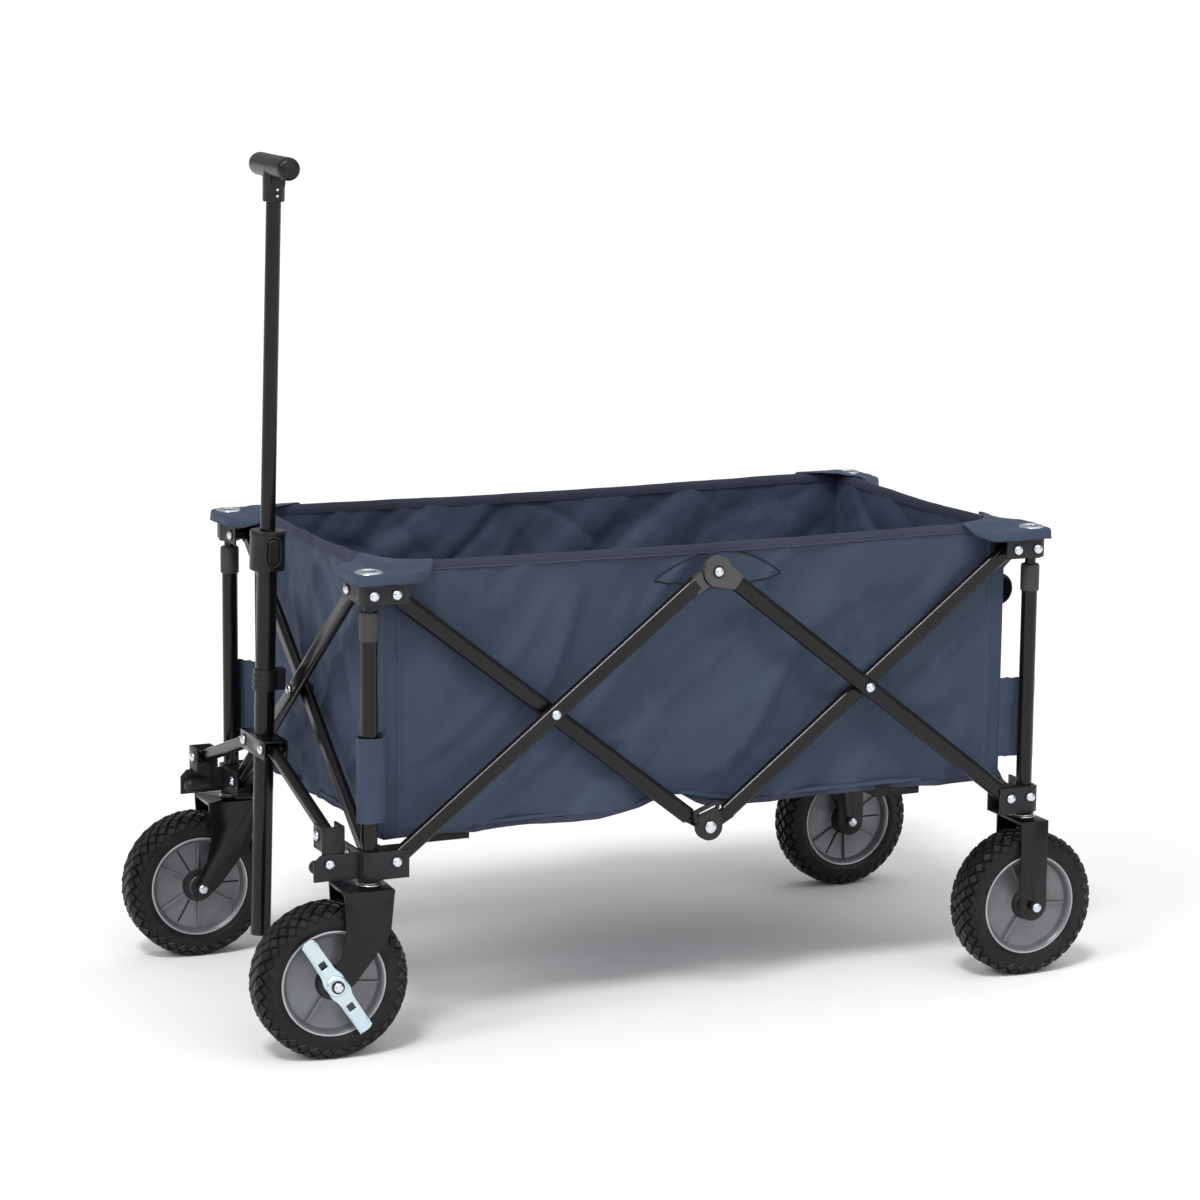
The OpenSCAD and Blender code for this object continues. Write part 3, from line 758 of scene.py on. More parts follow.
class MakeWheels(WagonPiece, bpy.types.Operator):
    """Knobbly tyres on moulded rims"""

    bl_idname = "wagon.wheels"
    bl_label = "Wheels"

    def knob(self, long, wide, high, lean=0.0):
        """A diamond with sloping sides, its foot a little below the tread."""
        work = bmesh.new()
        rings = []
        for scale, z in ((1.12, -0.003), (1.0, high * 0.55), (0.8, high)):
            rings.append([work.verts.new((x * long * scale / 2, y * wide * scale / 2, z))
                          for x, y in ((1, 0), (0, 1), (-1, 0), (0, -1))])
        for a, b in zip(rings, rings[1:]):
            for k in range(4):
                work.faces.new((a[k], a[(k + 1) % 4], b[(k + 1) % 4], b[k]))
        work.faces.new(rings[-1])
        work.faces.new(rings[0][::-1])
        bmesh.ops.transform(work, matrix=Matrix.Rotation(lean, 4, "X"), verts=work.verts)
        return from_bmesh("Knob", work, "tyre", smooth=False)

    def tyre(self, sizes, place, name):
        crown = AXLE_Z - sizes.knob_height
        half = [(0.0600, 0.0185), (0.0612, 0.0212), (0.0632, 0.0226), (0.0655, 0.0231),
                (0.0662, 0.0238), (0.0700, 0.0240), (0.0712, 0.0234), (0.0745, 0.0233),
                (0.0775, 0.0226), (0.0805, 0.0212), (0.0832, 0.0186), (crown - 0.0007, 0.0150),
                (crown, 0.0100), (crown, 0.0040)]
        parts = [turned("Carcass", mirrored(half), "tyre", 120, place @ ON_Y)]
        step = TAU / sizes.knobs
        middle_knob = self.knob(0.0150, 0.0125, sizes.knob_height)
        rows = [(0.0, 0.0, middle_knob), (0.0088, 0.5, middle_knob),
                (-0.0088, 0.5, middle_knob)]
        edges = []
        for sign in (1, -1):
            edge = self.knob(0.0145, 0.0120, sizes.knob_height, lean=-sign * math.radians(30))
            side = self.knob(0.0140, 0.0110, 0.0022, lean=-sign * math.radians(62))
            rows += [(sign * 0.0165, 0.0, edge), (sign * 0.0208, 0.5, side)]
            edges += [edge, side]
        radius = {0.0165: crown - 0.0016, 0.0208: crown - 0.0062}
        for offset, phase, shape in rows:
            r = radius.get(abs(offset), crown)
            parts.append(ring("Row", shape, sizes.knobs, r, offset, phase * step,
                              "tyre", place))
        for shape in [middle_knob] + edges:
            bpy.data.objects.remove(shape)
        return joined(name, parts)

    def rim(self, place, name):
        half = [(0.0042, 0.0215), (0.0128, 0.0215), (0.0138, 0.0205), (0.0175, 0.0200),
                (0.0185, 0.0190), (0.0190, 0.0128), (0.0235, 0.0112), (0.0500, 0.0118),
                (0.0535, 0.0132), (0.0556, 0.0172), (0.0566, 0.0204), (0.0580, 0.0216),
                (0.0600, 0.0216), (0.0610, 0.0207), (0.0613, 0.0190)]
        # the lip ring's lighter colour is a painted highlight along the rim's edge
        parts = [turned("Rim", mirrored(half), "rim", 96, place @ ON_Y),
                 turned_pair("Lip", [(0.0588, 0.0210), (0.0591, 0.0222), (0.0600, 0.0227),
                                     (0.0609, 0.0222), (0.0612, 0.0208), (0.0588, 0.0210)],
                             "lip", 96, place @ ON_Y)]
        # three spokes outside; six ribs inside, with three near-black strips between them as
        # painted shade for slits
        for look, count, turn, low, high, wide in (
                ("rim", 3, 25, 0.0100, 0.0162, 0.0013), ("rim", 6, 0, -0.0158, -0.0100, 0.0010),
                ("slit", 3, 30, -0.0126, -0.0108, 0.0009)):
            work = bmesh.new()
            block(work, (-wide, low, -0.0185), (wide, high, 0.0175))
            rib = finished(from_bmesh("Rib", work, look), bevel=0.0004)
            parts.append(ring("Ribs", rib, count, 0.0370, 0.0, math.radians(turn), look,
                              place))
            bpy.data.objects.remove(rib)
        parts.append(turned_pair("Hub", [(0.0135, 0.0212), (0.0142, 0.0217), (0.0176, 0.0210),
                                         (0.0196, 0.0178), (0.0199, 0.0128), (0.0135, 0.0120),
                                         (0.0135, 0.0212)], "hub", 64, place @ ON_Y))
        return joined(name, parts)

    def execute(self, context):
        sizes = context.scene.wagon_sizes
        for end in ENDS:
            for side in SIDES:
                name = f"{end}_{side}"
                place = axle(end, side)
                riding(self.tyre(sizes, place, f"{name}_tyre_look"), f"{name}_wheel", "tyre",
                       f"{name}_tyre")
                riding(self.rim(place, f"{name}_rim_look"), f"{name}_wheel", "rim_grey",
                       f"{name}_rim")
        return {"FINISHED"}


class MakeLevers(WagonPiece, bpy.types.Operator):
    """Pressed brake levers with slots and a hub boss"""

    bl_idname = "wagon.brake_levers"
    bl_label = "Brake levers"

    def execute(self, context):
        lean = math.radians(33)
        along = Vector((math.sin(lean), 0, math.cos(lean)))
        across = Vector((math.cos(lean), 0, -math.sin(lean)))
        facing = Matrix((along, across, (0, 1, 0))).transposed().to_4x4()
        outline = rounded([(-0.0640, -0.0085), (-0.0640, 0.0085), (-0.0180, 0.0095),
                           (-0.0100, 0.0125), (0.0100, 0.0125), (0.0180, 0.0095),
                           (0.0640, 0.0085), (0.0640, -0.0085), (0.0180, -0.0095),
                           (0.0100, -0.0125), (-0.0100, -0.0125), (-0.0180, -0.0095)], 0.006)
        slots = [rounded([(x - 0.0045, -0.0042), (x + 0.0045, -0.0042),
                          (x + 0.0045, 0.0042), (x - 0.0045, 0.0042)], 0.001)
                 for x in (-0.0300, 0.0300)]
        for side in SIDES:
            place = axle("front", side) @ Matrix.Translation((0, LEVER_FACE, 0)) @ facing
            parts = [plate("Plate", [outline, *slots], 0.0026, 0.0006, place, "lever")]
            work = bmesh.new()
            # turned-up sides and end tabs of the pressing
            for sign in (-1, 1):
                block(work, (sign * 0.0560 - 0.0040, -0.0086, 0), (sign * 0.0560 + 0.0040,
                      -0.0066, 0.0058), place)
                block(work, (sign * 0.0430 - 0.0200, 0.0070, 0), (sign * 0.0430 + 0.0200,
                      0.0088, 0.0040), place)
            lathe(work, [(0, 0.0042), (0.0075, 0.0042), (0.0108, 0.0036), (0.0125, 0.0020),
                         (0.0128, 0), (0, -0.0004)], 48, place)
            parts.append(finished(from_bmesh("Edges", work, "lever"), bevel=0.0006))
            lever = joined(f"{side}_brake_lever_look", parts)
            riding(lever, f"{side}_brake_lever", "lever_zinc", f"{side}_brake_lever")
        return {"FINISHED"}


class MakeBolts(WagonPiece, bpy.types.Operator):
    """Domed bolts on washers at every pivot"""

    bl_idname = "wagon.bolts"
    bl_label = "Bolts"

    def bolt(self, radius):
        k = radius / SMALL_BOLT
        return turned("Bolt", [(0, 0.0042), (0.0016 * k, 0.0041), (0.0034 * k, 0.0036),
                               (0.0049 * k, 0.0028), (0.0057 * k, 0.0018), (radius, 0.0006),
                               (radius, -0.0004), (0, -0.0004)], "zinc", 32, angle=50)

    def washer(self, radius):
        rim = radius * 1.04
        return turned("Washer", [(0.003, 0.0011), (radius, 0.0011), (rim, 0.0004),
                                 (rim, -0.0003), (0.003, -0.0003), (0.003, 0.0011)],
                      "bracket", 32, angle=50)

    def execute(self, context):
        spots = {}

        def at(body, place, way, big=False):
            spots.setdefault(body, []).append((place, way, big))

        for end in ENDS:
            for side in SIDES:
                name, where = f"{end}_{side}", corner(end, side)
                out_y = where.to_3x3() @ Vector((0, 1, 0))
                out_x = where.to_3x3() @ Vector((1, 0, 0))
                for body, z in ((f"{name}_corner", LOW_PIVOT), (f"{name}_top", TOP_PIVOT)):
                    at(body, where @ Vector((-SIDE_INSET, BRACKET_SIDE, z)), out_y)
                    at(body, where @ Vector((BRACKET_END, -END_INSET, z)), out_x)
                    if z == TOP_PIVOT or end == "rear":
                        at(body, where @ Vector((0, BRACKET_SIDE, z)), out_y)
                crossing = 0.5 * (FRONT_X - REAR_X) - SIDE_INSET - (HALF_Y - END_INSET)
                x = MID_X + (crossing if end == "front" else -crossing)
                at(f"{name}_outer_arm", Vector((x, where.translation.y, CROSSING_Z)) +
                   out_y * ARM_FACE, out_y)
                tip = where @ Vector((TRAIL if end == "front" else 0, 0, AXLE_Z))
                if end == "front":
                    tip = axle(end, side) @ Vector((0, 0, 0))
                    out_y = axle(end, side).to_3x3() @ Vector((0, 1, 0))
                body = f"{name}_caster" if end == "front" else f"{name}_corner"
                at(body, tip + out_y * FORK_OUTSIDE, out_y)
                at(body, tip - out_y * FORK_INSIDE, -out_y)
            x = POST[end, "left"].x + (0.009 if end == "front" else -0.009)
            at(f"{end}_right_cross_arm", Vector((x, 0, CROSSING_Z)),
               Vector((1 if end == "front" else -1, 0, 0)))
        for side in SIDES:
            s = side_sign(side)
            y = s * HALF_Y
            at(f"rear_{side}_outer_arm", Vector((MID_X, y + s * 0.0163, TOP_PIVOT)),
               (0, s, 0))
            at(f"rear_{side}_inner_arm", Vector((MID_X, y + s * 0.0042, LOW_PIVOT)),
               (0, s, 0), True)
            at(f"{side}_hitch", Vector((HITCH_PIVOT_X, y + s * 0.0003, LOW_PIVOT)),
               (0, s, 0))
            at(f"{side}_hitch", Vector((LINK_FACE_X, y - s * 0.0185, LINK_Z)), (1, 0, 0))
            at("handle", Vector((LINK_FACE_X, s * 0.0297, HANDLE_FOOT.z)), (1, 0, 0))
        small, large = self.bolt(SMALL_BOLT), self.bolt(LARGE_BOLT)
        washer = self.washer(LARGE_BOLT)
        for body, places in spots.items():
            parts = []
            for big, shape in ((False, small), (True, large)):
                some = [(p, w) for p, w, b in places if b == big]
                if some:
                    parts.append(copies("Bolts", shape, some, "zinc"))
            parts.append(copies("Washers", washer, [(p, w) for p, w, _ in places],
                                "bracket"))
            riding(joined(f"{body}_bolts", parts), body, "lever_zinc")
        for shape in (small, large, washer):
            bpy.data.objects.remove(shape)
        return {"FINISHED"}


class MakeHingeCovers(WagonPiece, bpy.types.Operator):
    """Post collars, middle hinge covers and fork washers"""

    bl_idname = "wagon.covers"
    bl_label = "Collars and covers"

    def execute(self, context):
        for end in ENDS:
            for side in SIDES:
                name, where = f"{end}_{side}", corner(end, side)
                collar = turned(f"{name}_collar", [
                    (0.0094, 0.4730), (0.0104, 0.4732), (0.0112, 0.4742), (0.0113, 0.4765),
                    (0.0113, 0.5020), (0.0109, 0.5048), (0.0098, 0.5058), (0.0068, 0.5058),
                    (0.0068, 0.5020), (0.0094, 0.5000), (0.0094, 0.4730)], "collar", 48, where)
                riding(collar, f"{name}_corner", "collar_black")
                washer = turned(f"{name}_stem_washer", [
                    (0.0061, 0.1950), (0.0150, 0.1950), (0.0155, 0.1956), (0.0150, 0.1962),
                    (0.0110, 0.1966), (0.0108, 0.1975), (0.0061, 0.1978), (0.0061, 0.1950)],
                    "zinc", 48, where)
                riding(washer, f"{name}_caster" if end == "front" else f"{name}_corner",
                       "lever_zinc")
        for side in SIDES:
            self.upper_hinge(side)
            self.lower_hinge(side)
        return {"FINISHED"}

    def frames(self, side, z):
        """At a middle hinge: a frame with the pivot on Z, and one for plates facing out."""
        s = side_sign(side)
        hinge = Matrix.Translation((MID_X, s * HALF_Y, z))
        return (hinge @ Matrix.Diagonal((1, s, 1, 1)) @ ON_Y,
                hinge @ Matrix(((-1, 0, 0, 0), (0, 0, s, 0), (0, 1, 0, 0), (0, 0, 0, 1))))

    def upper_hinge(self, side):
        """The cover with its tail along one arm, and the other arm's socket."""
        place, flat = self.frames(side, TOP_PIVOT)
        slope = math.atan2(CROSSING_Z - LOW_PIVOT, HALF_Y - END_INSET)
        down = Vector((math.cos(slope), -math.sin(slope)))
        over = Vector((math.sin(slope), math.cos(slope)))
        tail = [down * 0.0310 - over * 0.0045, down * 0.0310 + over * 0.0140]
        face = plate("Face", [arc(0.0180, 60 - math.degrees(slope), 240, 40) + tail], 0.0026,
                     0.0008, flat @ Matrix.Translation((0, 0, 0.0149)), "hinge")
        body = turned("Body", [(0.0100, 0.0136), (0.0174, 0.0136), (0.0178, 0.0100),
                               (0.0178, 0.0082), (0.0100, 0.0082), (0.0100, 0.0136)],
                      "hinge", 56, place)
        riding(joined(f"{side}_upper_hinge_cover", [face, body]), f"rear_{side}_outer_arm",
               "rim_grey")
        hollow = arc(0.0190, 142 + math.degrees(slope), 62, 14)
        far = [down * 0.0350 - over * 0.0050, down * 0.0350 + over * 0.0130]
        socket = plate("Socket", [hollow + [Vector((-p.x, p.y)) for p in far]], 0.0100, 0.0008,
                       flat @ Matrix.Translation((0, 0, 0.0084)), "hinge")
        riding(joined(f"{side}_hinge_socket", [socket]), f"front_{side}_outer_arm",
               "rim_grey")

    def lower_hinge(self, side):
        """The disc, its shield and the lip that the straightened arms rest on."""
        place, flat = self.frames(side, LOW_PIVOT)
        disc = turned("Disc", [(0, 0.0036), (0.0100, 0.0036), (0.0142, 0.0030),
                               (0.0160, 0.0018), (0.0164, -0.0010), (0.0164, -0.0052),
                               (0.0158, -0.0052), (0, 0.0004)], "wedge", 56, place)
        shield = plate("Shield", [arc(0.0165, -160, 150, 24) + [
            Vector((0.0160, 0.0080)), Vector((0.0095, 0.0240)), Vector((-0.0160, 0.0150))]],
            0.0032, 0.0010, flat @ Matrix.Translation((0, 0, 0.0022)), "wedge")
        lip = plate("Lip", [rounded([
            (-0.0205, 0.0060), (-0.0230, 0.0200), (0.0085, 0.0320), (0.0115, 0.0300),
            (0.0108, 0.0210), (0.0072, 0.0210), (0.0070, 0.0268), (-0.0180, 0.0170),
            (-0.0170, 0.0070)], 0.0022)], 0.0056, 0.0010,
            flat @ Matrix.Translation((0, 0, 0.0034)), "wedge")
        riding(joined(f"{side}_lower_hinge_cover", [disc, shield, lip]),
               f"rear_{side}_inner_arm", "clamp_black")


class MakeHandle(WagonPiece, bpy.types.Operator):
    """Clamp collar, release button and T grip"""

    bl_idname = "wagon.handle"
    bl_label = "Handle"

    def oval(self, wide, high):
        r = wide / 2
        return [Vector((r * math.cos(a), r * math.sin(a) + math.copysign(high / 2 - r,
                math.sin(a)))) for a in (TAU * (k + 0.5) / 48 for k in range(48))]

    def execute(self, context):
        facing = Matrix(((-1, 0, 0), (0, 0, 1), (0, 1, 0))).transposed().to_4x4()
        parts = [turned("Clamp", [
            (0.0119, 0.5175), (0.0192, 0.5175), (0.0204, 0.5186), (0.0207, 0.5205),
            (0.0205, 0.5400), (0.0203, 0.5560), (0.0208, 0.5580), (0.0208, 0.5625),
            (0.0200, 0.5642), (0.0150, 0.5645), (0.0098, 0.5640), (0.0092, 0.5620),
            (0.0092, 0.5560), (0.0119, 0.5550), (0.0119, 0.5175)], "clamp", 72, HANDLE)]
        at_button = HANDLE @ Matrix.Translation((0, BUTTON_FACE, BUTTON_Z)) @ facing
        parts.append(plate("Surround", [self.oval(0.0205, 0.0375), self.oval(0.0150, 0.0318)],
                           0.0036, 0.0012, at_button, "clamp"))
        riding(joined("handle_clamp_look", parts), "handle", "clamp_black", "handle_clamp")
        button = plate("handle_button_look", [self.oval(0.0140, 0.0308)], 0.0046, 0.0016,
                       at_button, "clamp")
        riding(button, "handle_button", "clamp_black", "handle_button")
        work = bmesh.new()
        bar = HANDLE @ Matrix.Translation((0, 0, GRIP_Z)) @ ON_Y
        ends = [(0.0135, 0.0440), (0.0134, 0.0475), (0.0126, 0.0508), (0.0108, 0.0532),
                (0.0075, 0.0545), (0.0035, 0.0549), (0, 0.0550)]
        lathe(work, [(r, -y) for r, y in ends[::-1]] + [(0.0132, 0)] + ends, 56, bar)
        lathe(work, [(0.0088, 0.9432), (0.0120, 0.9432), (0.0127, 0.9440), (0.0128, 0.9462),
                     (0.0128, 0.9640), (0.0131, 0.9700), (0.0122, GRIP_Z), (0, GRIP_Z)],
              56, HANDLE)
        # webs that flare from the neck into the bar
        for sign in (-1, 1):
            for k in range(8):
                t = k / 8
                y = 0.0100 + 0.0180 * t ** 1.6
                block(work, (-0.0095 + 0.004 * t, sign * y - 0.0022, 0.9610 + 0.0150 * t),
                      (0.0095 - 0.004 * t, sign * y + 0.0022, 0.9800), HANDLE)
        grip = from_bmesh("handle_grip_look", work, "grip", angle=50)
        work = bmesh.new()
        for z in (0.9500, 0.9572):
            place = HANDLE @ Matrix.Translation((0, 0.0122, z)) @ ON_Y
            lathe(work, [(0, 0.0009), (0.0014, 0.0008), (0.0017, 0.0002), (0, -0.001)], 20,
                  place)
        screws = from_bmesh("Screws", work, "zinc")
        riding(joined("handle_grip_look", [grip, screws]), "handle_inner", "clamp_black",
               "handle_grip")
        return {"FINISHED"}


class MakeBasket(WagonPiece, bpy.types.Operator):
    """Sewn walls, floor, bindings and their stitching"""

    bl_idname = "wagon.basket"
    bl_label = "Basket"

    def folds(self, along, up, seed):
        """Soft pulls that run slantwise, and slow swells between them, in about -1 to 1."""
        drift = 0.05 * noise.noise(Vector((along * 5, up * 5, seed + 21)))
        a, b = along + up + drift, along - up - drift
        slow = noise.noise(Vector((along * 3.6, up * 4.0, seed)))
        one = 1 - 3.2 * abs(noise.noise(Vector((a * 9.0, b * 2.6, seed + 7))))
        two = 1 - 3.2 * abs(noise.noise(Vector((a * 3.2, b * 9.0, seed + 13))))
        mid = noise.noise(Vector((a * 17.0, b * 5.0, seed + 5)))
        fine = noise.noise(Vector((a * 38.0, b * 16.0, seed + 9)))
        return 0.5 * slow + 0.62 * max(0.0, one) ** 2 + 0.42 * max(0.0, two) ** 2 \
            - 0.55 + 0.62 * mid + 0.20 * fine

    def panel_shape(self, start, end, out, seed, sizes, sag, notch):
        """A function from the share along and the share up to a point of the panel."""
        start, out = Vector(start), Vector(out)
        run = Vector(end) - start

        def at(s, t, proud=0.0):
            held = min(1.0, 6 * s, 6 * (1 - s)) * min(1.0, 0.3 + 4 * (1 - t))
            swell = self.folds(run.length * s, 0.3 * t, seed) * sizes.slack * held
            limit = 0.0034 if swell > 0 else 0.0130
            swell = limit * math.tanh(swell / limit)
            foot = SKIRT_Z - SKIRT_DROP + 0.0030 * noise.noise(Vector((s * 9, seed, 3)))
            if notch:
                off = run.length * (s - 0.5) - NOTCH_AT
                foot += 0.021 * math.exp(-(off / (0.045 if off > 0 else 0.030)) ** 2)
                swell -= 0.006 * math.exp(-(off / 0.040) ** 2) * (1 - t) ** 6
            z = foot + (HEM_Z - foot) * t - sag * math.sin(math.pi * s) ** 2 * t ** 3
            return start + run * s + out * (swell - 0.0012 + proud) + Vector((0, 0, z))

        return at

    def wall(self, name, at, run, sizes):
        """One panel of cloth, and its top and bottom edges."""
        columns, rows = max(60, int(run / 0.0052)), 60
        grid = [[at(i / columns, j / rows) for j in range(rows + 1)]
                for i in range(columns + 1)]
        made, area = woven(name, grid, "cloth", sizes.cloth)
        return made, [line[-1] for line in grid], [line[0] for line in grid], area

    def fell(self, name, at, s, wide, run):
        """A narrow strip sewn up a corner of the panel, with a row of stitches each side."""
        half = wide / 2 / run
        proud = (0.0004, 0.0017, 0.0020, 0.0017, 0.0004)
        up = [0.01 + 0.96 * j / 60 for j in range(61)]
        strip, _ = woven(name, [[at(s + half * (k - 2) / 2, t, p)
                                 for k, p in enumerate(proud)] for t in up], "cloth", 0.0006)
        rows = [stitches("Row", [at(s + half * 0.55 * k, t, 0.0024) for t in up])
                for k in (-1, 1)]
        return joined(name, [strip, *rows])

    def patch(self, name, at, run):
        """The lens-shaped patch behind a middle hinge, with a piped edge."""
        half, foot, rise, dip = 0.082, 0.5130, 0.0325, 0.0090
        rows, edge = [], []

        def share(x, z):
            t = (z - SKIRT_Z + SKIRT_DROP) / (HEM_Z - SKIRT_Z + SKIRT_DROP)
            return (x + run / 2) / run, t

        for i in range(49):
            u = -1 + i / 24
            x = -0.018 + half * u
            top = foot + rise * (1 - abs(u) ** 2.2)
            low = foot - dip * (1 - u * u)
            rows.append([at(*share(x, low + (top - low) * j / 8), 0.0018) for j in range(9)])
            edge.append((x, low, top))
        lens, _ = woven(name, rows, "cloth", 0.0010)
        outline = [(x, t) for x, _, t in edge] + [(x, low) for x, low, _ in edge[-2:0:-1]]
        path = [at(*share(x, z), 0.0024) for x, z in outline]
        return joined(name, [lens, piping("Pipe", path, 0.0009, "piping", closed=True)])

    def binding(self, name, path, out, deep, sizes):
        """Tape folded over an edge."""
        thick = sizes.cloth / 2 + 0.0010
        half = [(thick, -deep), (thick + 0.0006, -deep / 2), (thick, -0.0005),
                (thick * 0.5, 0.0014)]
        section = [(-a, b) for a, b in half] + [(0, 0.0019)] + half[::-1]
        rows = []
        for p in path:
            wave = 0.0004 * noise.noise(p * 70)
            rows.append([p + out * (a + wave) + Vector((0, 0, b)) for a, b in section])
        return woven(name, rows, "binding", 0.0005)[0]

    def panel(self, side_name, start, end, out, seed, sizes, body, fold, sag):
        run = (Vector(end) - Vector(start)).length
        long = side_name in SIDES
        at = self.panel_shape(start, end, out, seed, sizes, sag, long)
        cloth, top, bottom, area = self.wall(f"basket_{side_name}_panel", at, run, sizes)
        out = Vector(out)
        edge = self.binding(f"{side_name}_binding", top, out, sizes.binding, sizes)
        skirt = self.binding(f"{side_name}_skirt", [p + Vector((0, 0, 0.001)) for p in
                             bottom], out * -1, -0.006, sizes)
        offset = out * (sizes.cloth / 2 + 0.0022)
        seam = stitches(f"{side_name}_seam", [p + offset + Vector((0, 0, -sizes.binding +
                        0.0022)) for p in top])
        pieces = [cloth, edge, skirt, seam]
        inset = 0.019 / run
        for label, s in (("first", inset), ("last", 1 - inset)):
            pieces.append(self.fell(f"{side_name}_{label}_fell", at, s, 0.0085, run))
        if long:
            pieces.append(self.patch(f"{side_name}_hinge_patch", at, run))
        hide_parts(f"basket_{side_name}_wall")
        for piece in pieces:
            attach(piece, body)
            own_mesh(piece)
        tall = HEM_Z - SKIRT_Z + 0.02
        min(area, run * tall)
        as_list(pieces[1:])

    def floor(self, side):
        s = side_sign(side)
        low, high = (Vector(v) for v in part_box(f"basket_{side}_floor"))
        columns, rows = 70, 22
        grid = []
        for i in range(columns + 1):
            line = []
            for j in range(rows + 1):
                x = low.x + (high.x - low.x) * i / columns
                y = low.y + (high.y - low.y) * j / rows
                lift = 0.0012 * noise.noise(Vector((x * 8, y * 8, 31 + s)))
                lift += 0.013 * math.exp(-((x - MID_X - 0.030) / 0.045) ** 2) * \
                    min(1.0, abs(y) / 0.207) ** 5
                line.append((x, y, SKIRT_Z + lift))
            grid.append(line)
        made, _ = woven("Floor", grid, "cloth", 0.0042)
        work = bmesh.new()
        reach = sorted((s * 0.0975, s * 0.2060))
        for x0 in (REAR_X + 0.130, FRONT_X - 0.133):
            block(work, (x0, reach[0], 0.2290), (x0 + 0.060, reach[1], 0.2452))
        boards = finished(from_bmesh("Boards", work, "strap"), bevel=0.0006)
        piece = joined(f"basket_{side}_floor_look", [made, boards])
        riding(piece, f"{side}_floor", "basket_fabric", f"basket_{side}_floor")
        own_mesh(piece)

    def execute(self, context):
        sizes = context.scene.wagon_sizes
        x0, x1, y = WALL[0].x, WALL[1].x, WALL_Y
        for side in SIDES:
            s = side_sign(side)
            self.panel(side, (x0, s * y, 0), (x1, s * y, 0), (0, s, 0), 3 + s, sizes,
                       f"front_{side}_top", LENGTHWISE, 0.003)
            self.floor(side)
        ends_y = y - 0.0014
        for end, x, out, seed in (("front", END_WALL[1].x, 1, 11),
                                  ("rear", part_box("basket_rear_wall")[0].x, -1, 17)):
            self.panel(end, (x, -ends_y, 0), (x, ends_y, 0), (out, 0, 0), seed, sizes,
                       f"{end}_left_top", CROSSWISE, 0.004)
        return {"FINISHED"}


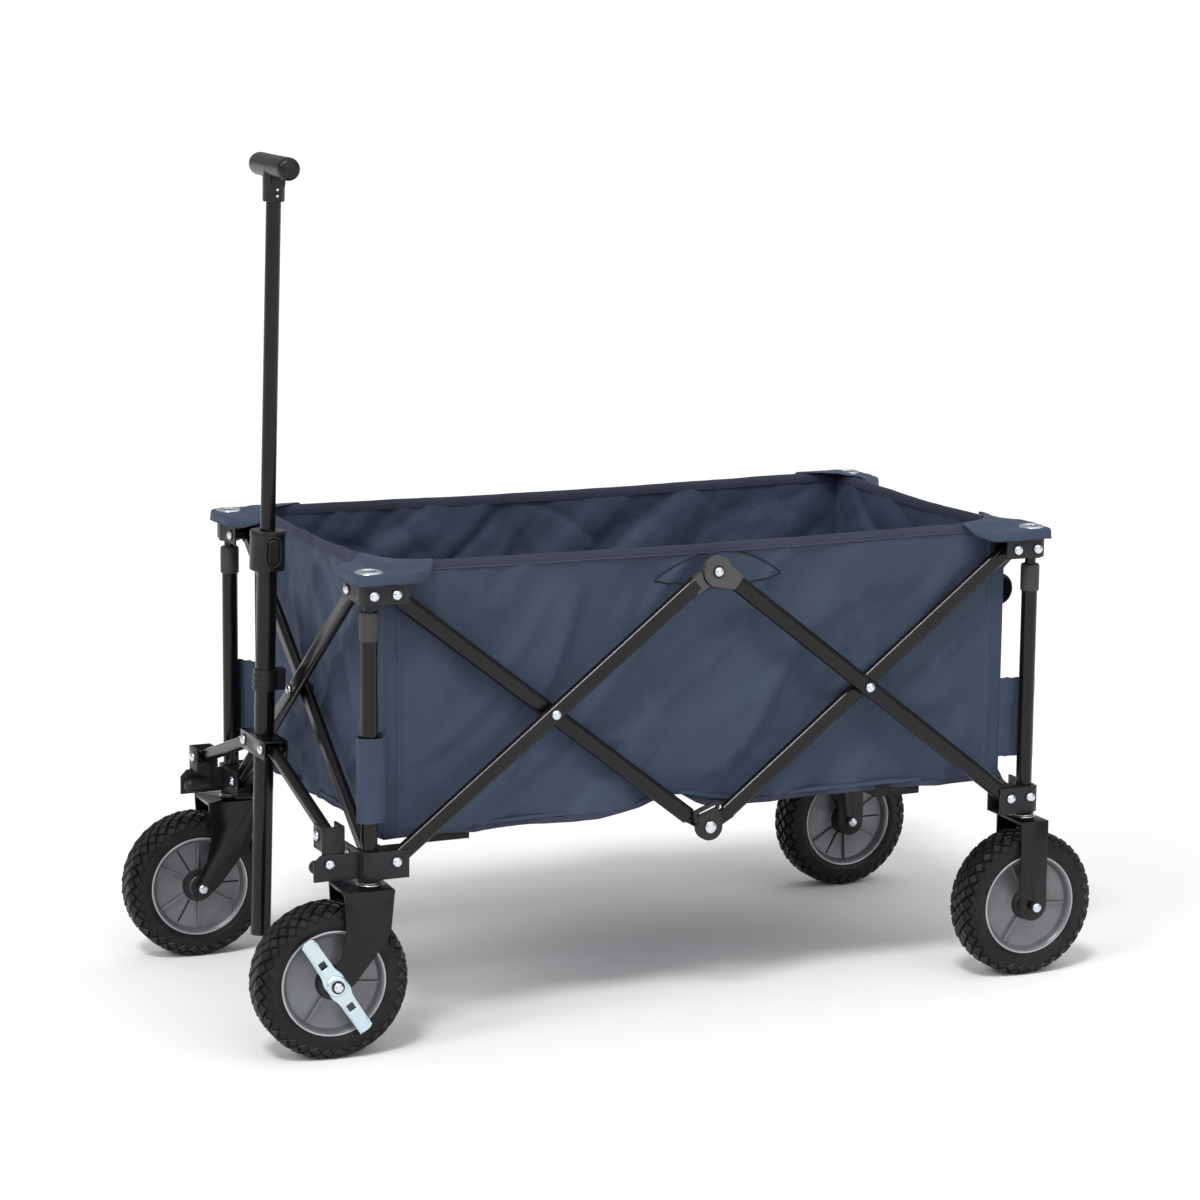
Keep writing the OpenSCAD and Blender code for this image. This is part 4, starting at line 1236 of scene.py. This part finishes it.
class MakeCornerCloth(WagonPiece, bpy.types.Operator):
    """Corner flaps with grommets, and the sleeves round the posts"""

    bl_idname = "wagon.corner_cloth"
    bl_label = "Corner cloth"

    def smooth_path(self, points, count):
        """Evenly spaced points along a line through the given ones, corners rounded."""
        points = [Vector(p) for p in points]
        lengths = [0.0]
        for a, b in zip(points, points[1:]):
            lengths.append(lengths[-1] + (b - a).length)
        out = []
        for k in range(count + 1):
            want = lengths[-1] * k / count
            i = max(j for j in range(len(points) - 1) if lengths[j] <= want + 1e-9)
            t = (want - lengths[i]) / (lengths[i + 1] - lengths[i])
            out.append(points[i].lerp(points[i + 1], t))
        for _ in range(4):
            out = [out[0]] + [(a + b * 2 + c) / 4 for a, b, c in zip(out, out[1:], out[2:])] \
                + [out[-1]]
        return out

    def flap(self, end, side, sizes):
        """A gusset across the corner, over both hems and down round the bracket."""
        name, where = f"{end}_{side}", corner(end, side)
        count, across, drop = 60, 20, 4
        side_hem, end_hem = WALL_Y - HALF_Y, END_WALL[1].x - FRONT_X
        reach = 0.082
        start, stop = Vector((-reach, side_hem, 0)), Vector((end_hem, -reach, 0))
        outer = self.smooth_path([start + Vector((-0.002, 0.001, 0)), (-0.070, 0.0020, 0),
                                  (-0.055, 0.0175, 0), (-0.044, 0.0198, 0),
                                  (0.0060, 0.0200, 0),
                                  (0.0190, 0.0180, 0), (0.0195, 0.0040, 0),
                                  (0.0190, -0.044, 0), (0.0170, -0.055, 0),
                                  (0.0020, -0.070, 0), stop + Vector((0.001, -0.002, 0))],
                                 count)
        rows = []
        for k, b in enumerate(outer):
            s = k / count
            a = start.lerp(stop, s)
            a += Vector((0.010, 0.010, 0)) * math.sin(math.pi * s)
            row = []
            for j in range(across + 1):
                p = a.lerp(b, j / across)
                beyond = max(p.x - end_hem, p.y - side_hem)
                fall = min(1.0, max(0.0, (beyond - 0.002) / 0.016))
                p.z = 0.5569 - 0.0071 * fall * fall * (3 - 2 * fall)
                p.z += 0.0010 * noise.noise(Vector((p.x * 60, p.y * 60, end == "front")))
                row.append(p)
            away = (outer[min(k + 1, count)] - outer[max(k - 1, 0)]).normalized()
            away = Vector((-away.y, away.x, 0))
            full = min(1.0, 6 * s, 6 * (1 - s))
            for j in range(1, drop + 1):
                t = j / drop
                p = b + away * 0.0012 * t ** 0.5
                p.z = row[across].z - 0.0095 * full * t - 0.0015 * t
                p.z += 0.0010 * noise.noise(Vector((k * 0.22, 5, 2))) * t
                row.append(p)
            rows.append([where @ p for p in row])
        edge = [row[-1] for row in rows]
        made, area = woven(f"{name}_flap", rows, "cloth", sizes.cloth, smooth=1)
        pipe = piping("Edge", edge, 0.0010, "binding")
        made = joined(f"{name}_flap", [made, pipe])
        riding(made, f"{name}_top", "basket_fabric")
        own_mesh(made)
        eyelet = turned("Eyelet", [
            (0.0088, 0.5480), (0.0094, 0.5514), (0.0112, 0.5526), (0.0136, 0.5523),
            (0.0158, 0.5508), (0.0164, 0.5496), (0.0164, 0.5480), (0.0088, 0.5480)],
            "zinc", 56, where)
        # the black disc inside the eyelet is painted shade standing for its dark hole
        hole_shade = turned("Hole", [(0, 0.5503), (0.0050, 0.5503), (0.0090, 0.5500),
                               (0.0090, 0.5485), (0, 0.5485)], "strap", 32, where)
        grommet = joined(f"{name}_grommet", [eyelet, hole_shade])
        riding(grommet, f"{name}_top", "lever_zinc")

    def sleeve(self, end, side, sizes):
        name, where = f"{end}_{side}", corner(end, side)
        if name == "front_left":
            points = [(-0.0262, -0.0175, 0), (-0.0175, 0.0030, 0), (-0.0140, 0.0105, 0),
                      (-0.0050, 0.0128, 0), (0.0050, 0.0130, 0), (0.0125, 0.0105, 0),
                      (0.0150, 0.0040, 0), (0.0130, -0.0060, 0), (0.0020, -0.0130, 0),
                      (-0.0100, -0.0165, 0), (-0.0235, -0.0205, 0)]
        elif name == "rear_left":
            points = [(-0.0262, -0.0192, 0), (-0.0140, -0.0158, 0), (-0.0020, -0.0137, 0),
                      (0.0080, -0.0112, 0), (0.0128, -0.0030, 0)]
        else:
            points = [(-0.0262, -0.0175, 0), (-0.0165, -0.0020, 0), (-0.0130, 0.0060, 0),
                      (-0.0050, 0.0128, 0), (0.0050, 0.0122, 0)]
        path = self.smooth_path(points, 48)
        low, high = 0.2670, 0.3640
        rows = []
        for j in range(15):
            z = low + (high - low) * j / 14
            row = []
            for i, p in enumerate(path):
                swell = 1 + 0.04 * noise.noise(Vector((i * 0.2, z * 30, 1)))
                drop = 0.0012 * noise.noise(Vector((i * 0.15, 4, j > 7)))
                row.append(where @ (p * swell + Vector((0, 0, z + drop))))
            rows.append(row)
        made, area = woven(f"{name}_sleeve", rows, "cloth", sizes.cloth)
        riding(made, f"{name}_corner", "basket_fabric")

    def strap_loop(self):
        low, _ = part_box("basket_rear_wall")
        rows = []
        for k in range(17):
            a = math.pi * k / 16
            x = low.x - 0.0165 * math.sin(a) + 0.001
            z = 0.472 - 0.018 * math.cos(a)
            rows.append([(x, y, z) for y in (0.186, 0.193, 0.200, 0.207)])
        made, _ = woven("rear_strap_loop", rows, "strap", 0.0018)
        riding(made, "rear_left_top", "basket_fabric")
        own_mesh(made)

    def execute(self, context):
        sizes = context.scene.wagon_sizes
        for end in ENDS:
            for side in SIDES:
                self.flap(end, side, sizes)
                self.sleeve(end, side, sizes)
        self.strap_loop()
        return {"FINISHED"}


class MakeStage(WagonPiece, bpy.types.Operator):
    """Camera, floor and soft lights"""

    bl_idname = "wagon.stage"
    bl_label = "Stage"

    def sun(self, name, towards, power, spread):
        data = bpy.data.lights.new(name, "SUN")
        data.energy = power
        data.angle = math.radians(spread)
        link(name, data).rotation_euler = Vector(towards).to_track_quat("Z", "Y").to_euler()

    def execute(self, context):
        scene = context.scene
        turn, pitch, away = math.radians(24.78), math.radians(10.51), 4.6836
        back = Vector((math.sin(turn) * math.cos(pitch), math.cos(turn) * math.cos(pitch),
                       math.sin(pitch)))
        data = bpy.data.cameras.new("Camera")
        data.sensor_width = 36
        data.lens = 116.46
        roll, aim = math.radians(0.56), Vector((0.0355 + MID_X, 0, 0.4525))
        camera = link("Camera", data)
        camera.rotation_mode = "QUATERNION"
        camera.rotation_quaternion = back.to_track_quat("Z", "Y") @ \
            Matrix.Rotation(roll, 3, "Z").to_quaternion()
        camera.location = aim + back * away
        scene.camera = camera
        work = bmesh.new()
        bmesh.ops.create_grid(work, x_segments=2, y_segments=2, size=60)
        pale = Finish("Pale floor")
        tone = pale.cloud(0.6, 2)
        LOOK["floor"] = pale.surface(
            Base_Color=pale.blend(tone, (0.90, 0.90, 0.90), (0.93, 0.93, 0.93)),
            Roughness=tone * 0.05 + 0.75)
        from_bmesh("Floor", work, "floor", smooth=False)
        self.studio(scene)
        self.sun("Key", (0.36, 0.42, 0.83), 1.5, 12)
        self.sun("Rake", (1.0, 0.35, 0.75), 0.9, 20)
        self.sun("Top", (-0.30, 0.10, 1.0), 0.6, 70)
        self.sun("Fill", (-0.25, 1.0, 0.55), 0.7, 60)
        return {"FINISHED"}

    def studio(self, scene):
        """A white backdrop that gives only part of its brightness as light."""
        world = bpy.data.worlds.new("Studio")
        world.use_nodes = True
        scene.world = world
        scene.view_settings.view_transform = "Standard"
        nodes, links = world.node_tree.nodes, world.node_tree.links
        ray = nodes.new("ShaderNodeLightPath")
        level = nodes.new("ShaderNodeMapRange")
        level.inputs["To Min"].default_value = 0.42
        level.inputs["To Max"].default_value = 1.0
        links.new(ray.outputs["Is Camera Ray"], level.inputs["Value"])
        links.new(level.outputs["Result"], nodes["Background"].inputs["Strength"])
        nodes["Background"].inputs["Color"].default_value = (1, 1, 1, 1)


OPERATORS = (MakeFinishes, MakeStage, FinishFrame, MakeWheels, MakeLevers, MakeBolts,
             MakeHingeCovers, MakeHandle, MakeBasket, MakeCornerCloth)


class WagonPanel(bpy.types.Panel):
    """Sizes, colours and one button for each group of pieces"""

    bl_idname = "VIEW3D_PT_wagon"
    bl_label = "Folding wagon"
    bl_space_type = "VIEW_3D"
    bl_region_type = "UI"
    bl_category = "Wagon"

    def draw(self, context):
        column = self.layout.column()
        for group in (context.scene.wagon_sizes, context.scene.wagon_colours):
            for key in group.bl_rna.properties.keys():
                if key not in ("rna_type", "name"):
                    column.prop(group, key)
        for operator in OPERATORS:
            column.operator(operator.bl_idname)


CLASSES = (WagonSizes, WagonColours, *OPERATORS, WagonPanel)


def register():
    for cls in CLASSES:
        bpy.utils.register_class(cls)
    bpy.types.Scene.wagon_sizes = PointerProperty(type=WagonSizes)
    bpy.types.Scene.wagon_colours = PointerProperty(type=WagonColours)


def unregister():
    del bpy.types.Scene.wagon_colours
    del bpy.types.Scene.wagon_sizes
    for cls in reversed(CLASSES):
        bpy.utils.unregister_class(cls)


def main():
    register()
    for operator in OPERATORS:
        group, name = operator.bl_idname.split(".")
        getattr(getattr(bpy.ops, group), name)()


if __name__ == "__main__":
    main()
